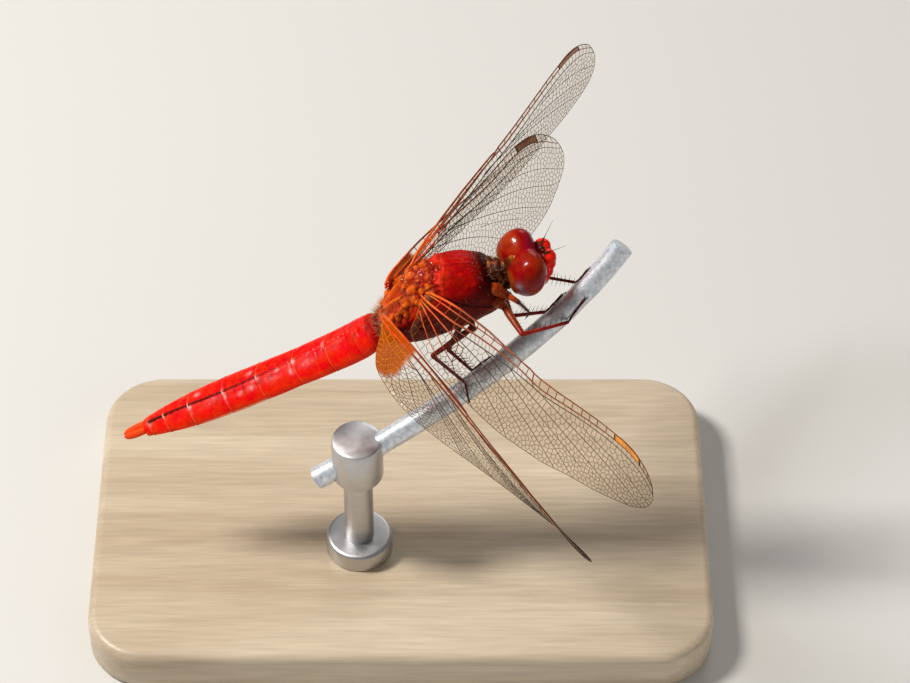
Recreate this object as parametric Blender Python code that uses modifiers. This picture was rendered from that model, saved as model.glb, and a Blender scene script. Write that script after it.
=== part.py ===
"""Scarlet skimmer dragonfly (Crocothemis servilia, male), life size, still.

The animal grips a short cut length of galvanised fence wire, which a rod and
a clamp hold above a flat base.  Metres, +Z up.  The origin is the middle of
the underside of the base.  The animal is built in its own body frame (+X to
the head, +Y to its left, +Z to its back, origin at the middle of the thorax)
and an empty turns that frame into the perched pose.
"""
import math

import bmesh
import bpy
from mathutils import Euler, Matrix, Vector

MM = 0.001
GAP = 0.3                      # clearance between neighbouring pieces, mm

# ---------------------------------------------------------------- pose
BODY_AT = (3.0, 0.0, 38.5)     # body frame origin above the base, mm
BODY_YAW = 4.8                 # degrees
BODY_PITCH = 31.2              # head up
BODY_ROLL = 10.0               # left side up
HEAD_AT = (9.3, 0.0, -1.9)     # head frame origin in the body frame, mm
HEAD_PITCH = 33.0              # face turned down
HEAD_YAW = 12.0                # face turned to its left

# ---------------------------------------------------------------- head, mm
EYE_SEMI = (1.70, 1.80, 2.45)  # length, breadth, height semi-axes
EYE_OFF = 1.60                 # eye centre from the middle plane
EYE_INNER = 2.40               # breadth semi-axis of the half that meets the other eye
EYE_UP = 0.10
CAPSULE_SEMI = (1.55, 2.55, 2.05)
CAPSULE_AT = (-0.35, 0.0, -0.25)
ANTENNA_LEN = 2.6
ANTENNA_R = 0.26

# ---------------------------------------------------------------- thorax, mm
# station x, top z, bottom z, half width
THORAX = [
    (6.35, -0.20, -3.30, 1.35),
    (6.05, 0.85, -4.15, 2.15),
    (5.20, 1.95, -4.75, 2.65),
    (3.80, 3.00, -5.00, 3.00),
    (2.00, 3.40, -4.95, 3.15),
    (0.00, 3.30, -4.80, 3.20),
    (-2.00, 2.70, -4.60, 3.05),
    (-3.80, 1.80, -4.20, 2.68),
    (-5.40, 0.55, -3.55, 2.15),
    (-6.42, -0.15, -2.75, 1.70),
]
THORAX_POWER = 2.35            # 2 is an ellipse, more is squarer
PROTHORAX = [
    (7.55, -0.70, -2.60, 0.85),
    (7.35, -0.25, -2.95, 1.20),
    (6.95, 0.00, -3.15, 1.45),
    (6.66, -0.20, -3.05, 1.35),
]

# ---------------------------------------------------------------- abdomen, mm
ABDOMEN_AT = (-6.60, 0.0, -1.37)
ABDOMEN_UP = 3.5               # degrees the tail is raised from the thorax axis
ABDOMEN_SAG = 1.7, 0.15        # droop of the abdomen below its chord, and where it sets in
# name, length, half width at its front, half width at its rear, height ratio
SEGMENTS = [
    ("s1", 0.8, 1.75, 2.02, 0.80),
    ("s2", 1.6, 2.04, 2.19, 0.78),
    ("s3", 3.6, 2.20, 2.16, 0.67),
    ("s4", 3.8, 2.16, 2.08, 0.61),
    ("s5", 4.1, 2.10, 2.12, 0.58),
    ("s6", 3.8, 2.12, 2.10, 0.58),
    ("s7", 3.8, 2.10, 1.90, 0.58),
    ("s8", 2.8, 1.88, 1.52, 0.60),
    ("s9", 1.8, 1.50, 1.15, 0.64),
    ("s10", 0.9, 1.12, 0.92, 0.70),
]
VENTER = 0.52                  # depth of the flat belly over the height of the back
CERCUS_LEN = 2.1
CERCUS_R = 0.35

# ---------------------------------------------------------------- wings, mm
WING_THICK = 0.5
# span fraction, offset behind the base-to-tip axis as a fraction of the length
FORE_LEAD = [(0, 0), (0.07, -0.013), (0.145, -0.020), (0.25, -0.022), (0.33, -0.017), (0.42, -0.011),
             (0.50, -0.005), (0.56, -0.006), (0.63, -0.011), (0.70, -0.016), (0.78, -0.020), (0.85, -0.020),
             (0.89, -0.015), (0.93, 0.001), (0.96, 0.022), (0.983, 0.050), (0.995, 0.082), (1.0, 0.110)]
FORE_TRAIL = [(0.0, 0.05), (0.03, 0.095), (0.06, 0.130), (0.10, 0.160), (0.145, 0.178), (0.217, 0.197),
              (0.326, 0.218), (0.45, 0.235), (0.594, 0.238), (0.695, 0.227), (0.795, 0.220), (0.84, 0.214),
              (0.882, 0.206), (0.926, 0.195), (0.961, 0.177), (0.984, 0.155), (0.996, 0.130), (1.0, 0.110)]
HIND_LEAD = [(0, 0), (0.1, -0.010), (0.2, -0.015), (0.35, -0.014), (0.40, -0.012), (0.5, -0.008),
             (0.6, -0.012), (0.7, -0.020), (0.77, -0.024), (0.84, -0.018), (0.9, 0.000), (0.95, 0.032),
             (0.98, 0.062), (0.995, 0.095), (1.0, 0.125)]
HIND_TRAIL = [(0.0, 0.08), (0.012, 0.13), (0.03, 0.19), (0.05, 0.228), (0.10, 0.265), (0.18, 0.303),
              (0.27, 0.322), (0.36, 0.322), (0.5, 0.305), (0.65, 0.284), (0.75, 0.268), (0.84, 0.244),
              (0.9, 0.215), (0.95, 0.185), (0.985, 0.155), (1.0, 0.125)]
# base in the body frame, length, sweep forward, droop, pitch (minus is the
# leading edge up), twist from base to tip; degrees
WINGS = {
    "wing_fore_right": ("fore", -1, (1.27, -1.96, 2.72), 30.9, 32.2, 7.8, -33.2, -40.8),
    "wing_fore_left": ("fore", 1, (0.59, 2.40, 3.15), 32.3, 39.9, 17.7, -68.4, -20.3),
    "wing_hind_right": ("hind", -1, (-3.65, -2.49, 2.39), 30.0, 19.1, 26.4, -66.0, -44.4),
    "wing_hind_left": ("hind", 1, (-2.80, 2.25, 2.47), 31.5, 32.1, 33.8, -91.4, -8.0),
}

# ---------------------------------------------------------------- legs, mm
# body frame hip and knee; femur and tibia radii; grip on the wire as the
# fraction along it and the degrees round it from its top to the right, for
# the ankle and for the tip of the tarsus
LEGS = {
    "leg_fore_left": ((6.75, 1.35, -3.45), (8.75, 1.20, -6.60), 0.36, 0.27, (0.830, -14), (0.880, -28)),
    "leg_mid_right": ((5.75, -2.45, -3.60), (6.80, -6.05, -4.15), 0.46, 0.27, (0.735, 92), (0.815, 72)),
    "leg_mid_left": ((5.20, 1.35, -5.20), (4.55, -0.90, -7.90), 0.42, 0.27, (0.705, -12), (0.770, -50)),
    "leg_hind_right": ((1.90, -2.85, -4.15), (-2.25, -4.95, -2.55), 0.46, 0.27, (0.422, 18), (0.392, 128)),
    "leg_hind_left": ((2.30, 1.20, -5.40), (-2.00, -2.60, -6.10), 0.42, 0.27, (0.450, -12), (0.500, -70)),
}
TARSUS_R = 0.25
# the right foreleg is folded behind the eye and holds nothing: hip, knee,
# ankle, tip in the body frame
TUCKED = ("leg_fore_right", (6.55, -1.75, -3.35), (8.20, -4.30, -1.35), (7.75, -3.55, -4.60), (7.00, -3.20, -5.80), 0.34, 0.25)

# ---------------------------------------------------------------- perch, stand
WIRE_R = 1.15
# control points of the wire's middle line in the world, mm
WIRE = [(-8.4, -5.1, 16.7), (12.6, -2.8, 30.7), (21.5, 2.0, 43.0)]
BASE_SIZE = (64.0, 38.0, 5.0)
BASE_CORNER = 6.0
BASE_CHAMFER = 0.8
ROD_R = 1.5
ROD_AT_T = 0.10                # where along the wire the rod holds it
CLAMP_R = 2.6
CLAMP_H = 5.4
FOOT_R = 3.4
FOOT_H = 2.2

COLOURS = {
    "red": ((0.62, 0.035, 0.012, 1), 0.35, 0.0),
    "deep": ((0.33, 0.012, 0.008, 1), 0.32, 0.0),
    "eye": ((0.30, 0.008, 0.008, 1), 0.10, 0.0),
    "face": ((0.75, 0.03, 0.012, 1), 0.30, 0.0),
    "brown": ((0.20, 0.055, 0.015, 1), 0.45, 0.0),
    "orange": ((0.55, 0.12, 0.015, 1), 0.38, 0.0),
    "tibia": ((0.16, 0.012, 0.010, 1), 0.35, 0.0),
    "wing": ((0.72, 0.64, 0.48, 1), 0.15, 0.0),
    "zinc": ((0.55, 0.57, 0.60, 1), 0.42, 0.9),
    "steel": ((0.62, 0.62, 0.63, 1), 0.28, 1.0),
    "board": ((0.70, 0.60, 0.46, 1), 0.50, 0.0),
}


def clear_scene():
    for ob in list(bpy.data.objects):
        bpy.data.objects.remove(ob, do_unlink=True)


def collection(name):
    col = bpy.data.collections.new(name)
    bpy.context.scene.collection.children.link(col)
    return col


def material(name):
    mat = bpy.data.materials.get(name)
    if mat:
        return mat
    colour, rough, metal = COLOURS[name]
    mat = bpy.data.materials.new(name)
    mat.use_nodes = True
    bsdf = mat.node_tree.nodes["Principled BSDF"]
    bsdf.inputs["Base Color"].default_value = colour
    bsdf.inputs["Roughness"].default_value = rough
    bsdf.inputs["Metallic"].default_value = metal
    return mat


def add_object(name, data, mat, parent=None, col=None):
    ob = bpy.data.objects.new(name, data)
    (col or PARTS).objects.link(ob)
    if data.materials:
        data.materials[0] = material(mat)
    else:
        data.materials.append(material(mat))
    ob.parent = parent
    return ob


def smooth(mesh, angle=35):
    mesh.shade_smooth()
    mesh.set_sharp_from_angle(angle=math.radians(angle))


def mesh_from(bm, name):
    bmesh.ops.recalc_face_normals(bm, faces=bm.faces)
    mesh = bpy.data.meshes.new(name)
    bm.to_mesh(mesh)
    bm.free()
    smooth(mesh)
    return mesh


def mm(p):
    return Vector(p) * MM


def loft(rings, name):
    """Closed skin through rings of equal count, flat at both ends."""
    bm = bmesh.new()
    loops = [[bm.verts.new(mm(p)) for p in ring] for ring in rings]
    n = len(rings[0])
    for a, b in zip(loops, loops[1:]):
        for i in range(n):
            j = (i + 1) % n
            bm.faces.new((a[i], a[j], b[j], b[i]))
    bm.faces.new(loops[0])
    bm.faces.new(list(reversed(loops[-1])))
    return mesh_from(bm, name)


def power(v, p):
    return math.copysign(abs(v) ** p, v)


def body_ring(x, top, bottom, half, n, p):
    """Superellipse section of the trunk at station x."""
    mid, b = (top + bottom) / 2, (top - bottom) / 2
    ring = []
    for i in range(n):
        t = 2 * math.pi * i / n
        ring.append((x, half * power(math.cos(t), 2 / p), mid + b * power(math.sin(t), 2 / p)))
    return ring


def abdomen_ring(centre, back, up, half, ratio, n):
    """Roofed section: a keel along the back, a nearly flat belly."""
    ring = []
    for i in range(n):
        t = 2 * math.pi * i / n
        y = half * math.cos(t)
        s = math.sin(t)
        if s >= 0:
            z = half * ratio * (0.80 * s + 0.20 * (1 - abs(math.cos(t))))
        else:
            z = -half * ratio * VENTER * abs(s) ** 0.6
        p = Vector(centre) + Vector((0, y, 0)) + Vector(up) * z
        ring.append(tuple(p))
    return ring


def interp(table, x):
    for (x0, y0), (x1, y1) in zip(table, table[1:]):
        if x <= x1:
            return y0 + (y1 - y0) * (x - x0) / (x1 - x0)
    return table[-1][1]


def tube(name, points, radii, mat, parent=None, resolution=2):
    """Round tapering piece along a few points."""
    cu = bpy.data.curves.new(name, "CURVE")
    cu.dimensions = "3D"
    cu.bevel_depth = MM
    cu.bevel_resolution = resolution
    cu.use_fill_caps = True
    sp = cu.splines.new("POLY")
    sp.points.add(len(points) - 1)
    for q, p, r in zip(sp.points, points, radii):
        q.co = (*mm(p), 1)
        q.radius = r
    return add_object(name, cu, mat, parent)


def boolean(ob, cutter, op="DIFFERENCE"):
    m = ob.modifiers.new("cut", "BOOLEAN")
    m.operation = op
    m.object = cutter
    m.solver = "EXACT"
    return m


def hide(ob):
    ob.hide_render = True
    ob.display_type = "WIRE"
    return ob


def cylinder(name, r, z0, z1, mat, at=(0, 0), n=32, parent=None, col=None):
    bm = bmesh.new()
    bmesh.ops.create_cone(bm, cap_ends=True, segments=n, radius1=r * MM, radius2=r * MM,
                          depth=(z1 - z0) * MM,
                          matrix=Matrix.Translation(mm((at[0], at[1], (z0 + z1) / 2))))
    mesh = mesh_from(bm, name)
    return add_object(name, mesh, mat, parent, col)


def ellipsoid(name, semi, centre, mat, parent=None, col=None, u=20, v=12, inner=None):
    """Ellipsoid; with inner, its half towards the middle plane has that breadth."""
    bm = bmesh.new()
    bmesh.ops.create_uvsphere(bm, u_segments=u, v_segments=v, radius=MM,
                              matrix=Matrix.Translation(mm(centre)) @ Matrix.Diagonal((*semi, 1)))
    if inner:
        y0 = centre[1] * MM
        for w in bm.verts:
            if (w.co.y - y0) * centre[1] < 0:
                w.co.y = y0 + (w.co.y - y0) * inner / semi[1]
    return add_object(name, mesh_from(bm, name), mat, parent, col)


# ---------------------------------------------------------------- pieces
def build_head(head):
    """Capsule, face, two eyes that meet on top, two short feelers."""
    wide = [s + GAP for s in EYE_SEMI]
    cut = {}
    for side, sign in (("left", 1), ("right", -1)):
        centre = (0, sign * EYE_OFF, EYE_UP)
        eye = ellipsoid("eye_" + side, EYE_SEMI, centre, "eye", head, u=20, v=14, inner=EYE_INNER)
        bm = bmesh.new()
        bm.from_mesh(eye.data)
        geom = bm.verts[:] + bm.edges[:] + bm.faces[:]
        bmesh.ops.bisect_plane(bm, geom=geom, dist=1e-7, plane_co=mm((0, sign * GAP / 2, 0)),
                               plane_no=(0, -sign, 0), clear_outer=True)
        bmesh.ops.holes_fill(bm, edges=[e for e in bm.edges if e.is_boundary])
        bmesh.ops.recalc_face_normals(bm, faces=bm.faces)
        bm.to_mesh(eye.data)
        bm.free()
        smooth(eye.data)
        cut[side] = hide(ellipsoid("eye_cut_" + side, wide, centre, "eye", head, CUTTERS, u=20, v=14,
                                   inner=EYE_INNER + GAP))
    capsule = ellipsoid("head", CAPSULE_SEMI, CAPSULE_AT, "orange", head, u=20, v=12)
    for c in cut.values():
        boolean(capsule, c)
    # face: frons, clypeus, labrum and mouth as one lofted wedge below the crown
    rings = []
    n = 14
    for z, x0, x1, half in ((1.25, 1.55, 2.35, 0.95), (1.00, 1.35, 3.00, 1.35), (0.35, 1.25, 3.25, 1.50),
                            (-0.35, 1.20, 3.10, 1.55), (-1.00, 1.15, 3.15, 1.60), (-1.70, 1.00, 2.90, 1.55),
                            (-2.30, 0.60, 2.30, 1.35), (-2.65, 0.40, 1.50, 0.95)):
        xm, a = (x0 + x1) / 2, (x1 - x0) / 2
        rings.append([(xm + a * power(math.cos(2 * math.pi * i / n), 0.8),
                       half * power(math.sin(2 * math.pi * i / n), 0.8), z) for i in range(n)])
    face = add_object("face", loft(rings, "face"), "face", head)
    for c in cut.values():
        boolean(face, c)
    grown = hide(ellipsoid("capsule_cut", [s + GAP for s in CAPSULE_SEMI], CAPSULE_AT, "orange",
                           head, CUTTERS, u=20, v=12))
    boolean(face, grown)
    for side, sign in (("left", 1), ("right", -1)):
        root = Vector((2.15, sign * 0.62, 1.85))
        way = Vector((0.62, sign * 0.42, 0.62)).normalized()
        pts = [root + way * ANTENNA_LEN * f + Vector((0, 0, 0.25 * f * f)) for f in (0, 0.35, 0.7, 1)]
        tube("antenna_" + side, pts, (ANTENNA_R * 1.1, ANTENNA_R, ANTENNA_R, ANTENNA_R), "brown", head, 1)


def build_trunk(body):
    n = 18
    rings = [body_ring(x, t, b, h, n, THORAX_POWER) for x, t, b, h in THORAX]
    add_object("thorax", loft(rings, "thorax"), "deep", body)
    rings = [body_ring(x, t, b, h, 14, 2.1) for x, t, b, h in PROTHORAX]
    neck = add_object("prothorax", loft(rings, "prothorax"), "brown", body)
    for name in ("eye_cut_left", "eye_cut_right", "capsule_cut"):
        boolean(neck, bpy.data.objects[name])


def abdomen_axis(s):
    """Middle line of the abdomen at s mm from its front, with its up axis."""
    total = sum(seg[1] for seg in SEGMENTS)
    a = math.radians(ABDOMEN_UP)
    back = Vector((-math.cos(a), 0, math.sin(a)))
    up = Vector((math.sin(a), 0, math.cos(a)))
    f = s / total
    return Vector(ABDOMEN_AT) + back * s - up * (ABDOMEN_SAG[0] * f / (f + ABDOMEN_SAG[1]) * (1 - f)), back, up


def build_abdomen(body):
    s = 0.0
    n = 16
    for name, length, w0, w1, ratio in SEGMENTS:
        rings = []
        lo, hi = s + GAP / 2, s + length - GAP / 2
        steps = 4 if length > 1.5 else 2
        for k in range(steps + 1):
            f = k / steps
            c, back, up = abdomen_axis(lo + (hi - lo) * f)
            half = w0 + (w1 - w0) * f + 0.035 * math.sin(math.pi * f)
            half *= 0.975 if k in (0, steps) else 1.0
            rings.append(abdomen_ring(c, back, up, half, ratio, n))
        add_object("abdomen_" + name, loft(rings, name), "red", body)
        s += length
    c, back, up = abdomen_axis(s)
    start = c + back * GAP
    for side, sign in (("left", 1), ("right", -1)):
        pts = [start + Vector((0, sign * 0.42, 0)) + back * CERCUS_LEN * f
               + up * (0.18 - 0.25 * f * (1 - f)) for f in (0, 0.3, 0.65, 1)]
        tube("cercus_" + side, pts, (CERCUS_R * 0.8, CERCUS_R * 0.9, CERCUS_R, CERCUS_R * 0.75), "red", body)
    pts = [start + back * CERCUS_LEN * 0.55 * f - up * 0.43 for f in (0, 0.5, 1)]
    tube("epiproct", pts, (0.33, 0.31, 0.25), "red", body)


def wing_point(kind, side, base, length, sweep, droop, pitch, twist, u, v):
    """Point of a wing: u along the span, v behind the axis, both over the length."""
    cp, sp = math.cos(math.radians(pitch)), math.sin(math.radians(pitch))
    a, c = Vector((0, 1, 0)), Vector((-cp, 0, sp))
    turn = Matrix.Rotation(-math.radians(sweep), 3, "Z") @ Matrix.Rotation(-math.radians(droop), 3, "X")
    a, c = turn @ a, turn @ c
    n = a.cross(c)
    t = math.radians(twist) * (u - 0.5)
    c = c * math.cos(t) + n * math.sin(t)
    p = (a * u + c * v) * length
    if side < 0:
        p.y = -p.y
    return Vector(base) + p


def build_wings(body):
    rows, cols = 20, 5
    trunk = hide(add_object("trunk_cut", loft([body_ring(x, t + GAP, b - GAP, h + GAP, 18, THORAX_POWER)
                                               for x, t, b, h in THORAX], "trunk_cut"), "deep", body, CUTTERS))
    for name, (kind, side, *rest) in WINGS.items():
        lead, trail = (FORE_LEAD, FORE_TRAIL) if kind == "fore" else (HIND_LEAD, HIND_TRAIL)
        bm = bmesh.new()
        grid = []
        for i in range(rows):
            u = 0.5 - 0.5 * math.cos(math.pi * i / rows)
            v0, v1 = interp(lead, u), interp(trail, u)
            grid.append([bm.verts.new(mm(wing_point(kind, side, *rest, u, v0 + (v1 - v0) * j / cols)))
                         for j in range(cols + 1)])
        tip = bm.verts.new(mm(wing_point(kind, side, *rest, 1.0, lead[-1][1])))
        for r0, r1 in zip(grid, grid[1:]):
            for j in range(cols):
                bm.faces.new((r0[j], r0[j + 1], r1[j + 1], r1[j]))
        for j in range(cols):
            bm.faces.new((grid[-1][j], grid[-1][j + 1], tip))
        mesh = mesh_from(bm, name)
        ob = add_object(name, mesh, "wing", body)
        m = ob.modifiers.new("thick", "SOLIDIFY")
        m.thickness = WING_THICK * MM
        m.offset = 0
        m.use_even_offset = False
        boolean(ob, trunk)


def shorten(a, b, start, end):
    """The run from a to b, cut back at each end."""
    a, b = Vector(a), Vector(b)
    d = (b - a).normalized()
    return a + d * start, b - d * end


def wire_point(t):
    p0, p1, p2 = (Vector(p) for p in WIRE)
    return p0 * (1 - t) ** 2 + p1 * 2 * t * (1 - t) + p2 * t * t


def wire_side(t, degrees):
    """Point beside the wire where a tarsus lies, clear of it, in the world."""
    way = (wire_point(t + 0.01) - wire_point(t - 0.01)).normalized()
    up = (Vector((0, 0, 1)) - way * way.z).normalized()
    out = way.cross(up)
    a = math.radians(degrees)
    return wire_point(t) + (up * math.cos(a) + out * math.sin(a)) * (WIRE_R + GAP + TARSUS_R + 0.02)


def leg(name, body, hip, knee, path, rf, rt):
    a, b = shorten(hip, knee, 0, rf * 0.5 + GAP)
    pts = [a + (b - a) * f for f in (0, 0.15, 0.45, 0.8, 1)]
    tube(name + "_femur", pts, (rf * 1.15, rf * 1.05, rf, rf * 0.85, rf * 0.8), "orange", body)
    # a sharply folded knee needs the tibia to start farther out to stay clear
    fold = (Vector(hip) - Vector(knee)).angle(path[0] - Vector(knee))
    clear = rf * 0.9 + GAP
    if fold < math.radians(60):
        clear = (rf * 0.8 + rt * 1.1 + 0.1) / math.sin(fold)
    a, b = shorten(knee, path[0], clear, rt * 0.5 + GAP)
    pts = [a + (b - a) * f for f in (0, 0.3, 0.7, 1)]
    tube(name + "_tibia", pts, (rt * 1.1, rt, rt, rt * 0.95), "tibia", body)
    first, _ = shorten(path[0], path[1], rt * 0.5, 0)
    tube(name + "_tarsus", [first] + path[1:], [TARSUS_R] * len(path), "tibia", body)


def build_legs(body):
    to_body = (Matrix.Translation(Vector(BODY_AT)) @ body.rotation_euler.to_matrix().to_4x4()).inverted()
    for name, (hip, knee, rf, rt, (t0, a0), (t1, a1)) in LEGS.items():
        path = [to_body @ wire_side(t0 + (t1 - t0) * f, a0 + (a1 - a0) * f) for f in (0, 0.25, 0.5, 0.75, 1)]
        leg(name, body, hip, knee, path, rf, rt)
    name, hip, knee, ankle, tip, rf, rt = TUCKED
    ankle, tip = Vector(ankle), Vector(tip)
    leg(name, body, hip, knee, [ankle, (ankle + tip) / 2, tip], rf, rt)


def build_perch():
    n = 14
    pts = [wire_point(i / (n - 1)) for i in range(n)]
    tube("perch_wire", pts, [WIRE_R] * n, "zinc", None, 4)


def rounded_outline(sx, sy, r, z, n=6):
    pts = []
    for cx, cy, a0 in ((1, 1, 0), (-1, 1, 90), (-1, -1, 180), (1, -1, 270)):
        for k in range(n + 1):
            a = math.radians(a0 + 90 * k / n)
            pts.append((cx * (sx / 2 - r) + r * math.cos(a), cy * (sy / 2 - r) + r * math.sin(a), z))
    return pts


def build_stand():
    sx, sy, h = BASE_SIZE
    c = BASE_CHAMFER
    rings = [rounded_outline(sx - 2 * c * 0.5, sy - c, BASE_CORNER - c * 0.5, 0),
             rounded_outline(sx, sy, BASE_CORNER, c * 0.5),
             rounded_outline(sx, sy, BASE_CORNER, h - c),
             rounded_outline(sx - 0.6 * c, sy - 0.6 * c, BASE_CORNER - 0.3 * c, h - 0.3 * c),
             rounded_outline(sx - 2 * c, sy - 2 * c, BASE_CORNER - c, h)]
    add_object("stand_base", loft(rings, "base"), "board")
    held = wire_point(ROD_AT_T)
    way = (wire_point(ROD_AT_T + 0.02) - wire_point(ROD_AT_T - 0.02)).normalized()
    at = (held.x, held.y)
    top = held.z - CLAMP_H / 2
    cylinder("stand_rod", ROD_R, h + GAP, top - GAP, "steel", at, 24)
    foot = cylinder("stand_collar", FOOT_R, h + GAP, h + GAP + FOOT_H, "steel", at, 32)
    boolean(foot, hide(cylinder("collar_bore", ROD_R + GAP, h - 1, h + FOOT_H + 2, "steel", at, 24, None, CUTTERS)))
    clamp = cylinder("stand_clamp", CLAMP_R, top, top + CLAMP_H, "steel", at, 32)
    bore = cylinder("wire_bore", WIRE_R + GAP, -8, 8, "steel", (0, 0), 24, None, CUTTERS)
    bore.location = mm(held)
    bore.rotation_mode = "QUATERNION"
    bore.rotation_quaternion = way.to_track_quat("Z", "Y")
    boolean(clamp, hide(bore))


def empty(name, at, parent=None):
    ob = bpy.data.objects.new(name, None)
    PARTS.objects.link(ob)
    ob.location = mm(at)
    ob.parent = parent
    return ob


clear_scene()
PARTS = collection("dragonfly")
CUTTERS = collection("cutters")
body = empty("body_frame", BODY_AT)
body.rotation_euler = Euler((math.radians(BODY_ROLL), -math.radians(BODY_PITCH), math.radians(BODY_YAW)), "XYZ")
head = empty("head_frame", HEAD_AT, body)
head.rotation_mode = "ZYX"
head.rotation_euler = Euler((0, math.radians(HEAD_PITCH), math.radians(HEAD_YAW)), "ZYX")
build_head(head)
build_trunk(body)
build_abdomen(body)
build_wings(body)
build_legs(body)
build_perch()
build_stand()
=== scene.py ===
"""Looks of the scarlet skimmer model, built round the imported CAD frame.

Shapes are made in millimetres, in the animal's own body frame (+X to the
head, +Y to its left, +Z to its back) or in the head's frame, and then turned
into the row frame in metres.
"""

import math

import bmesh
import bpy
import numpy as np
from mathutils import Euler, Matrix, Vector, geometry


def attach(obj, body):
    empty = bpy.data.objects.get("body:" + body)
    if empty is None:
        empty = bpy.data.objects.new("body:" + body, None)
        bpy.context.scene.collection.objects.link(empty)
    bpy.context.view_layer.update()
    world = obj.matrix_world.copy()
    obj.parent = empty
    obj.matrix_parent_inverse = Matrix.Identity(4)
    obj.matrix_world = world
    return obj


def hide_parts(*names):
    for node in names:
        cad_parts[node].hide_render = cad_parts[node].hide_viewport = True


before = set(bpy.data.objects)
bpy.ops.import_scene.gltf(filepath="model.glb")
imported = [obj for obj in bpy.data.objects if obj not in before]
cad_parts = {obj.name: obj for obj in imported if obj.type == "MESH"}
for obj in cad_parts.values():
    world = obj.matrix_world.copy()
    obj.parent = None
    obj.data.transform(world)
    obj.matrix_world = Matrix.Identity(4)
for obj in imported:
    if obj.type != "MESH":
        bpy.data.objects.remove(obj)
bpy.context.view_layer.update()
MM = 0.001
TAU = 2 * math.pi

# ---------------------------------------------------------------- pose, as in the CAD
BODY_AT = (3.0, 0.0, 38.5)
BODY_ANGLES = (10.0, -31.2, 4.8)
HEAD_AT = (9.3, 0.0, -1.9)
HEAD_PITCH, HEAD_YAW = 33.0, 12.0
BODY = Matrix.Translation(Vector(BODY_AT)) @ Euler([math.radians(a) for a in BODY_ANGLES], "XYZ").to_matrix().to_4x4()
HEAD = BODY @ Matrix.Translation(Vector(HEAD_AT)) @ Euler(
    (0, math.radians(HEAD_PITCH), math.radians(HEAD_YAW)), "ZYX").to_matrix().to_4x4()
BODY_INV = BODY.inverted()
WORLD = Matrix.Identity(4)

EYE_SEMI, EYE_OFF, EYE_UP, EYE_INNER = (1.70, 1.80, 2.45), 1.60, 0.10, 3.10

THORAX = np.array([
    (6.35, -0.20, -3.30, 1.35), (6.05, 0.85, -4.15, 2.15), (5.20, 1.95, -4.75, 2.65),
    (3.80, 3.00, -5.00, 3.00), (2.00, 3.40, -4.95, 3.15), (0.00, 3.30, -4.80, 3.20),
    (-2.00, 2.70, -4.60, 3.05), (-3.80, 1.80, -4.20, 2.68), (-5.40, 0.55, -3.55, 2.15),
    (-6.42, -0.15, -2.75, 1.70)])
THORAX_POWER = 2.35

ABDOMEN_AT, ABDOMEN_UP, ABDOMEN_SAG, VENTER = (-6.60, 0.0, -1.37), 3.5, (1.7, 0.15), 0.52
SEGMENTS = [
    ("s1", 0.8, 1.75, 2.02, 0.80), ("s2", 1.6, 2.04, 2.19, 0.78), ("s3", 3.6, 2.20, 2.16, 0.67),
    ("s4", 3.8, 2.16, 2.08, 0.61), ("s5", 4.1, 2.10, 2.12, 0.58), ("s6", 3.8, 2.12, 2.10, 0.58),
    ("s7", 3.8, 2.10, 1.90, 0.58), ("s8", 2.8, 1.88, 1.52, 0.60), ("s9", 1.8, 1.50, 1.15, 0.64),
    ("s10", 0.9, 1.12, 0.92, 0.70)]

FORE_LEAD = [(0, 0), (0.07, -0.013), (0.145, -0.020), (0.25, -0.022), (0.33, -0.017), (0.42, -0.011),
             (0.50, -0.005), (0.56, -0.006), (0.63, -0.011), (0.70, -0.016), (0.78, -0.020), (0.85, -0.020),
             (0.89, -0.015), (0.93, 0.001), (0.96, 0.022), (0.983, 0.050), (0.995, 0.082), (1.0, 0.110)]
FORE_TRAIL = [(0.0, 0.085), (0.006, 0.128), (0.026, 0.146), (0.05, 0.157), (0.10, 0.174), (0.145, 0.184),
              (0.217, 0.198), (0.326, 0.218), (0.45, 0.235), (0.594, 0.238), (0.695, 0.227), (0.795, 0.220),
              (0.84, 0.214), (0.882, 0.206), (0.926, 0.195), (0.961, 0.177), (0.984, 0.155), (0.996, 0.130),
              (1.0, 0.110)]
HIND_LEAD = [(0, 0), (0.1, -0.010), (0.2, -0.015), (0.35, -0.014), (0.40, -0.012), (0.5, -0.008),
             (0.6, -0.012), (0.7, -0.020), (0.77, -0.024), (0.84, -0.018), (0.9, 0.000), (0.95, 0.032),
             (0.98, 0.062), (0.995, 0.095), (1.0, 0.125)]
HIND_TRAIL = [(0.0, 0.08), (0.012, 0.13), (0.03, 0.19), (0.05, 0.228), (0.10, 0.265), (0.18, 0.303),
              (0.27, 0.322), (0.36, 0.322), (0.5, 0.305), (0.65, 0.284), (0.75, 0.268), (0.84, 0.244),
              (0.9, 0.215), (0.95, 0.185), (0.985, 0.155), (1.0, 0.125)]
WINGS = {
    "wing_fore_right": ("fore", -1, (1.27, -1.96, 2.72), 30.9, 32.2, 7.8, -33.2, -40.8),
    "wing_fore_left": ("fore", 1, (0.59, 2.40, 3.15), 32.3, 39.9, 17.7, -68.4, -20.3),
    "wing_hind_right": ("hind", -1, (-3.65, -2.49, 2.39), 30.0, 19.1, 26.4, -66.0, -44.4),
    "wing_hind_left": ("hind", 1, (-2.80, 2.25, 2.47), 31.5, 32.1, 33.8, -91.4, -8.0),
}

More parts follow.
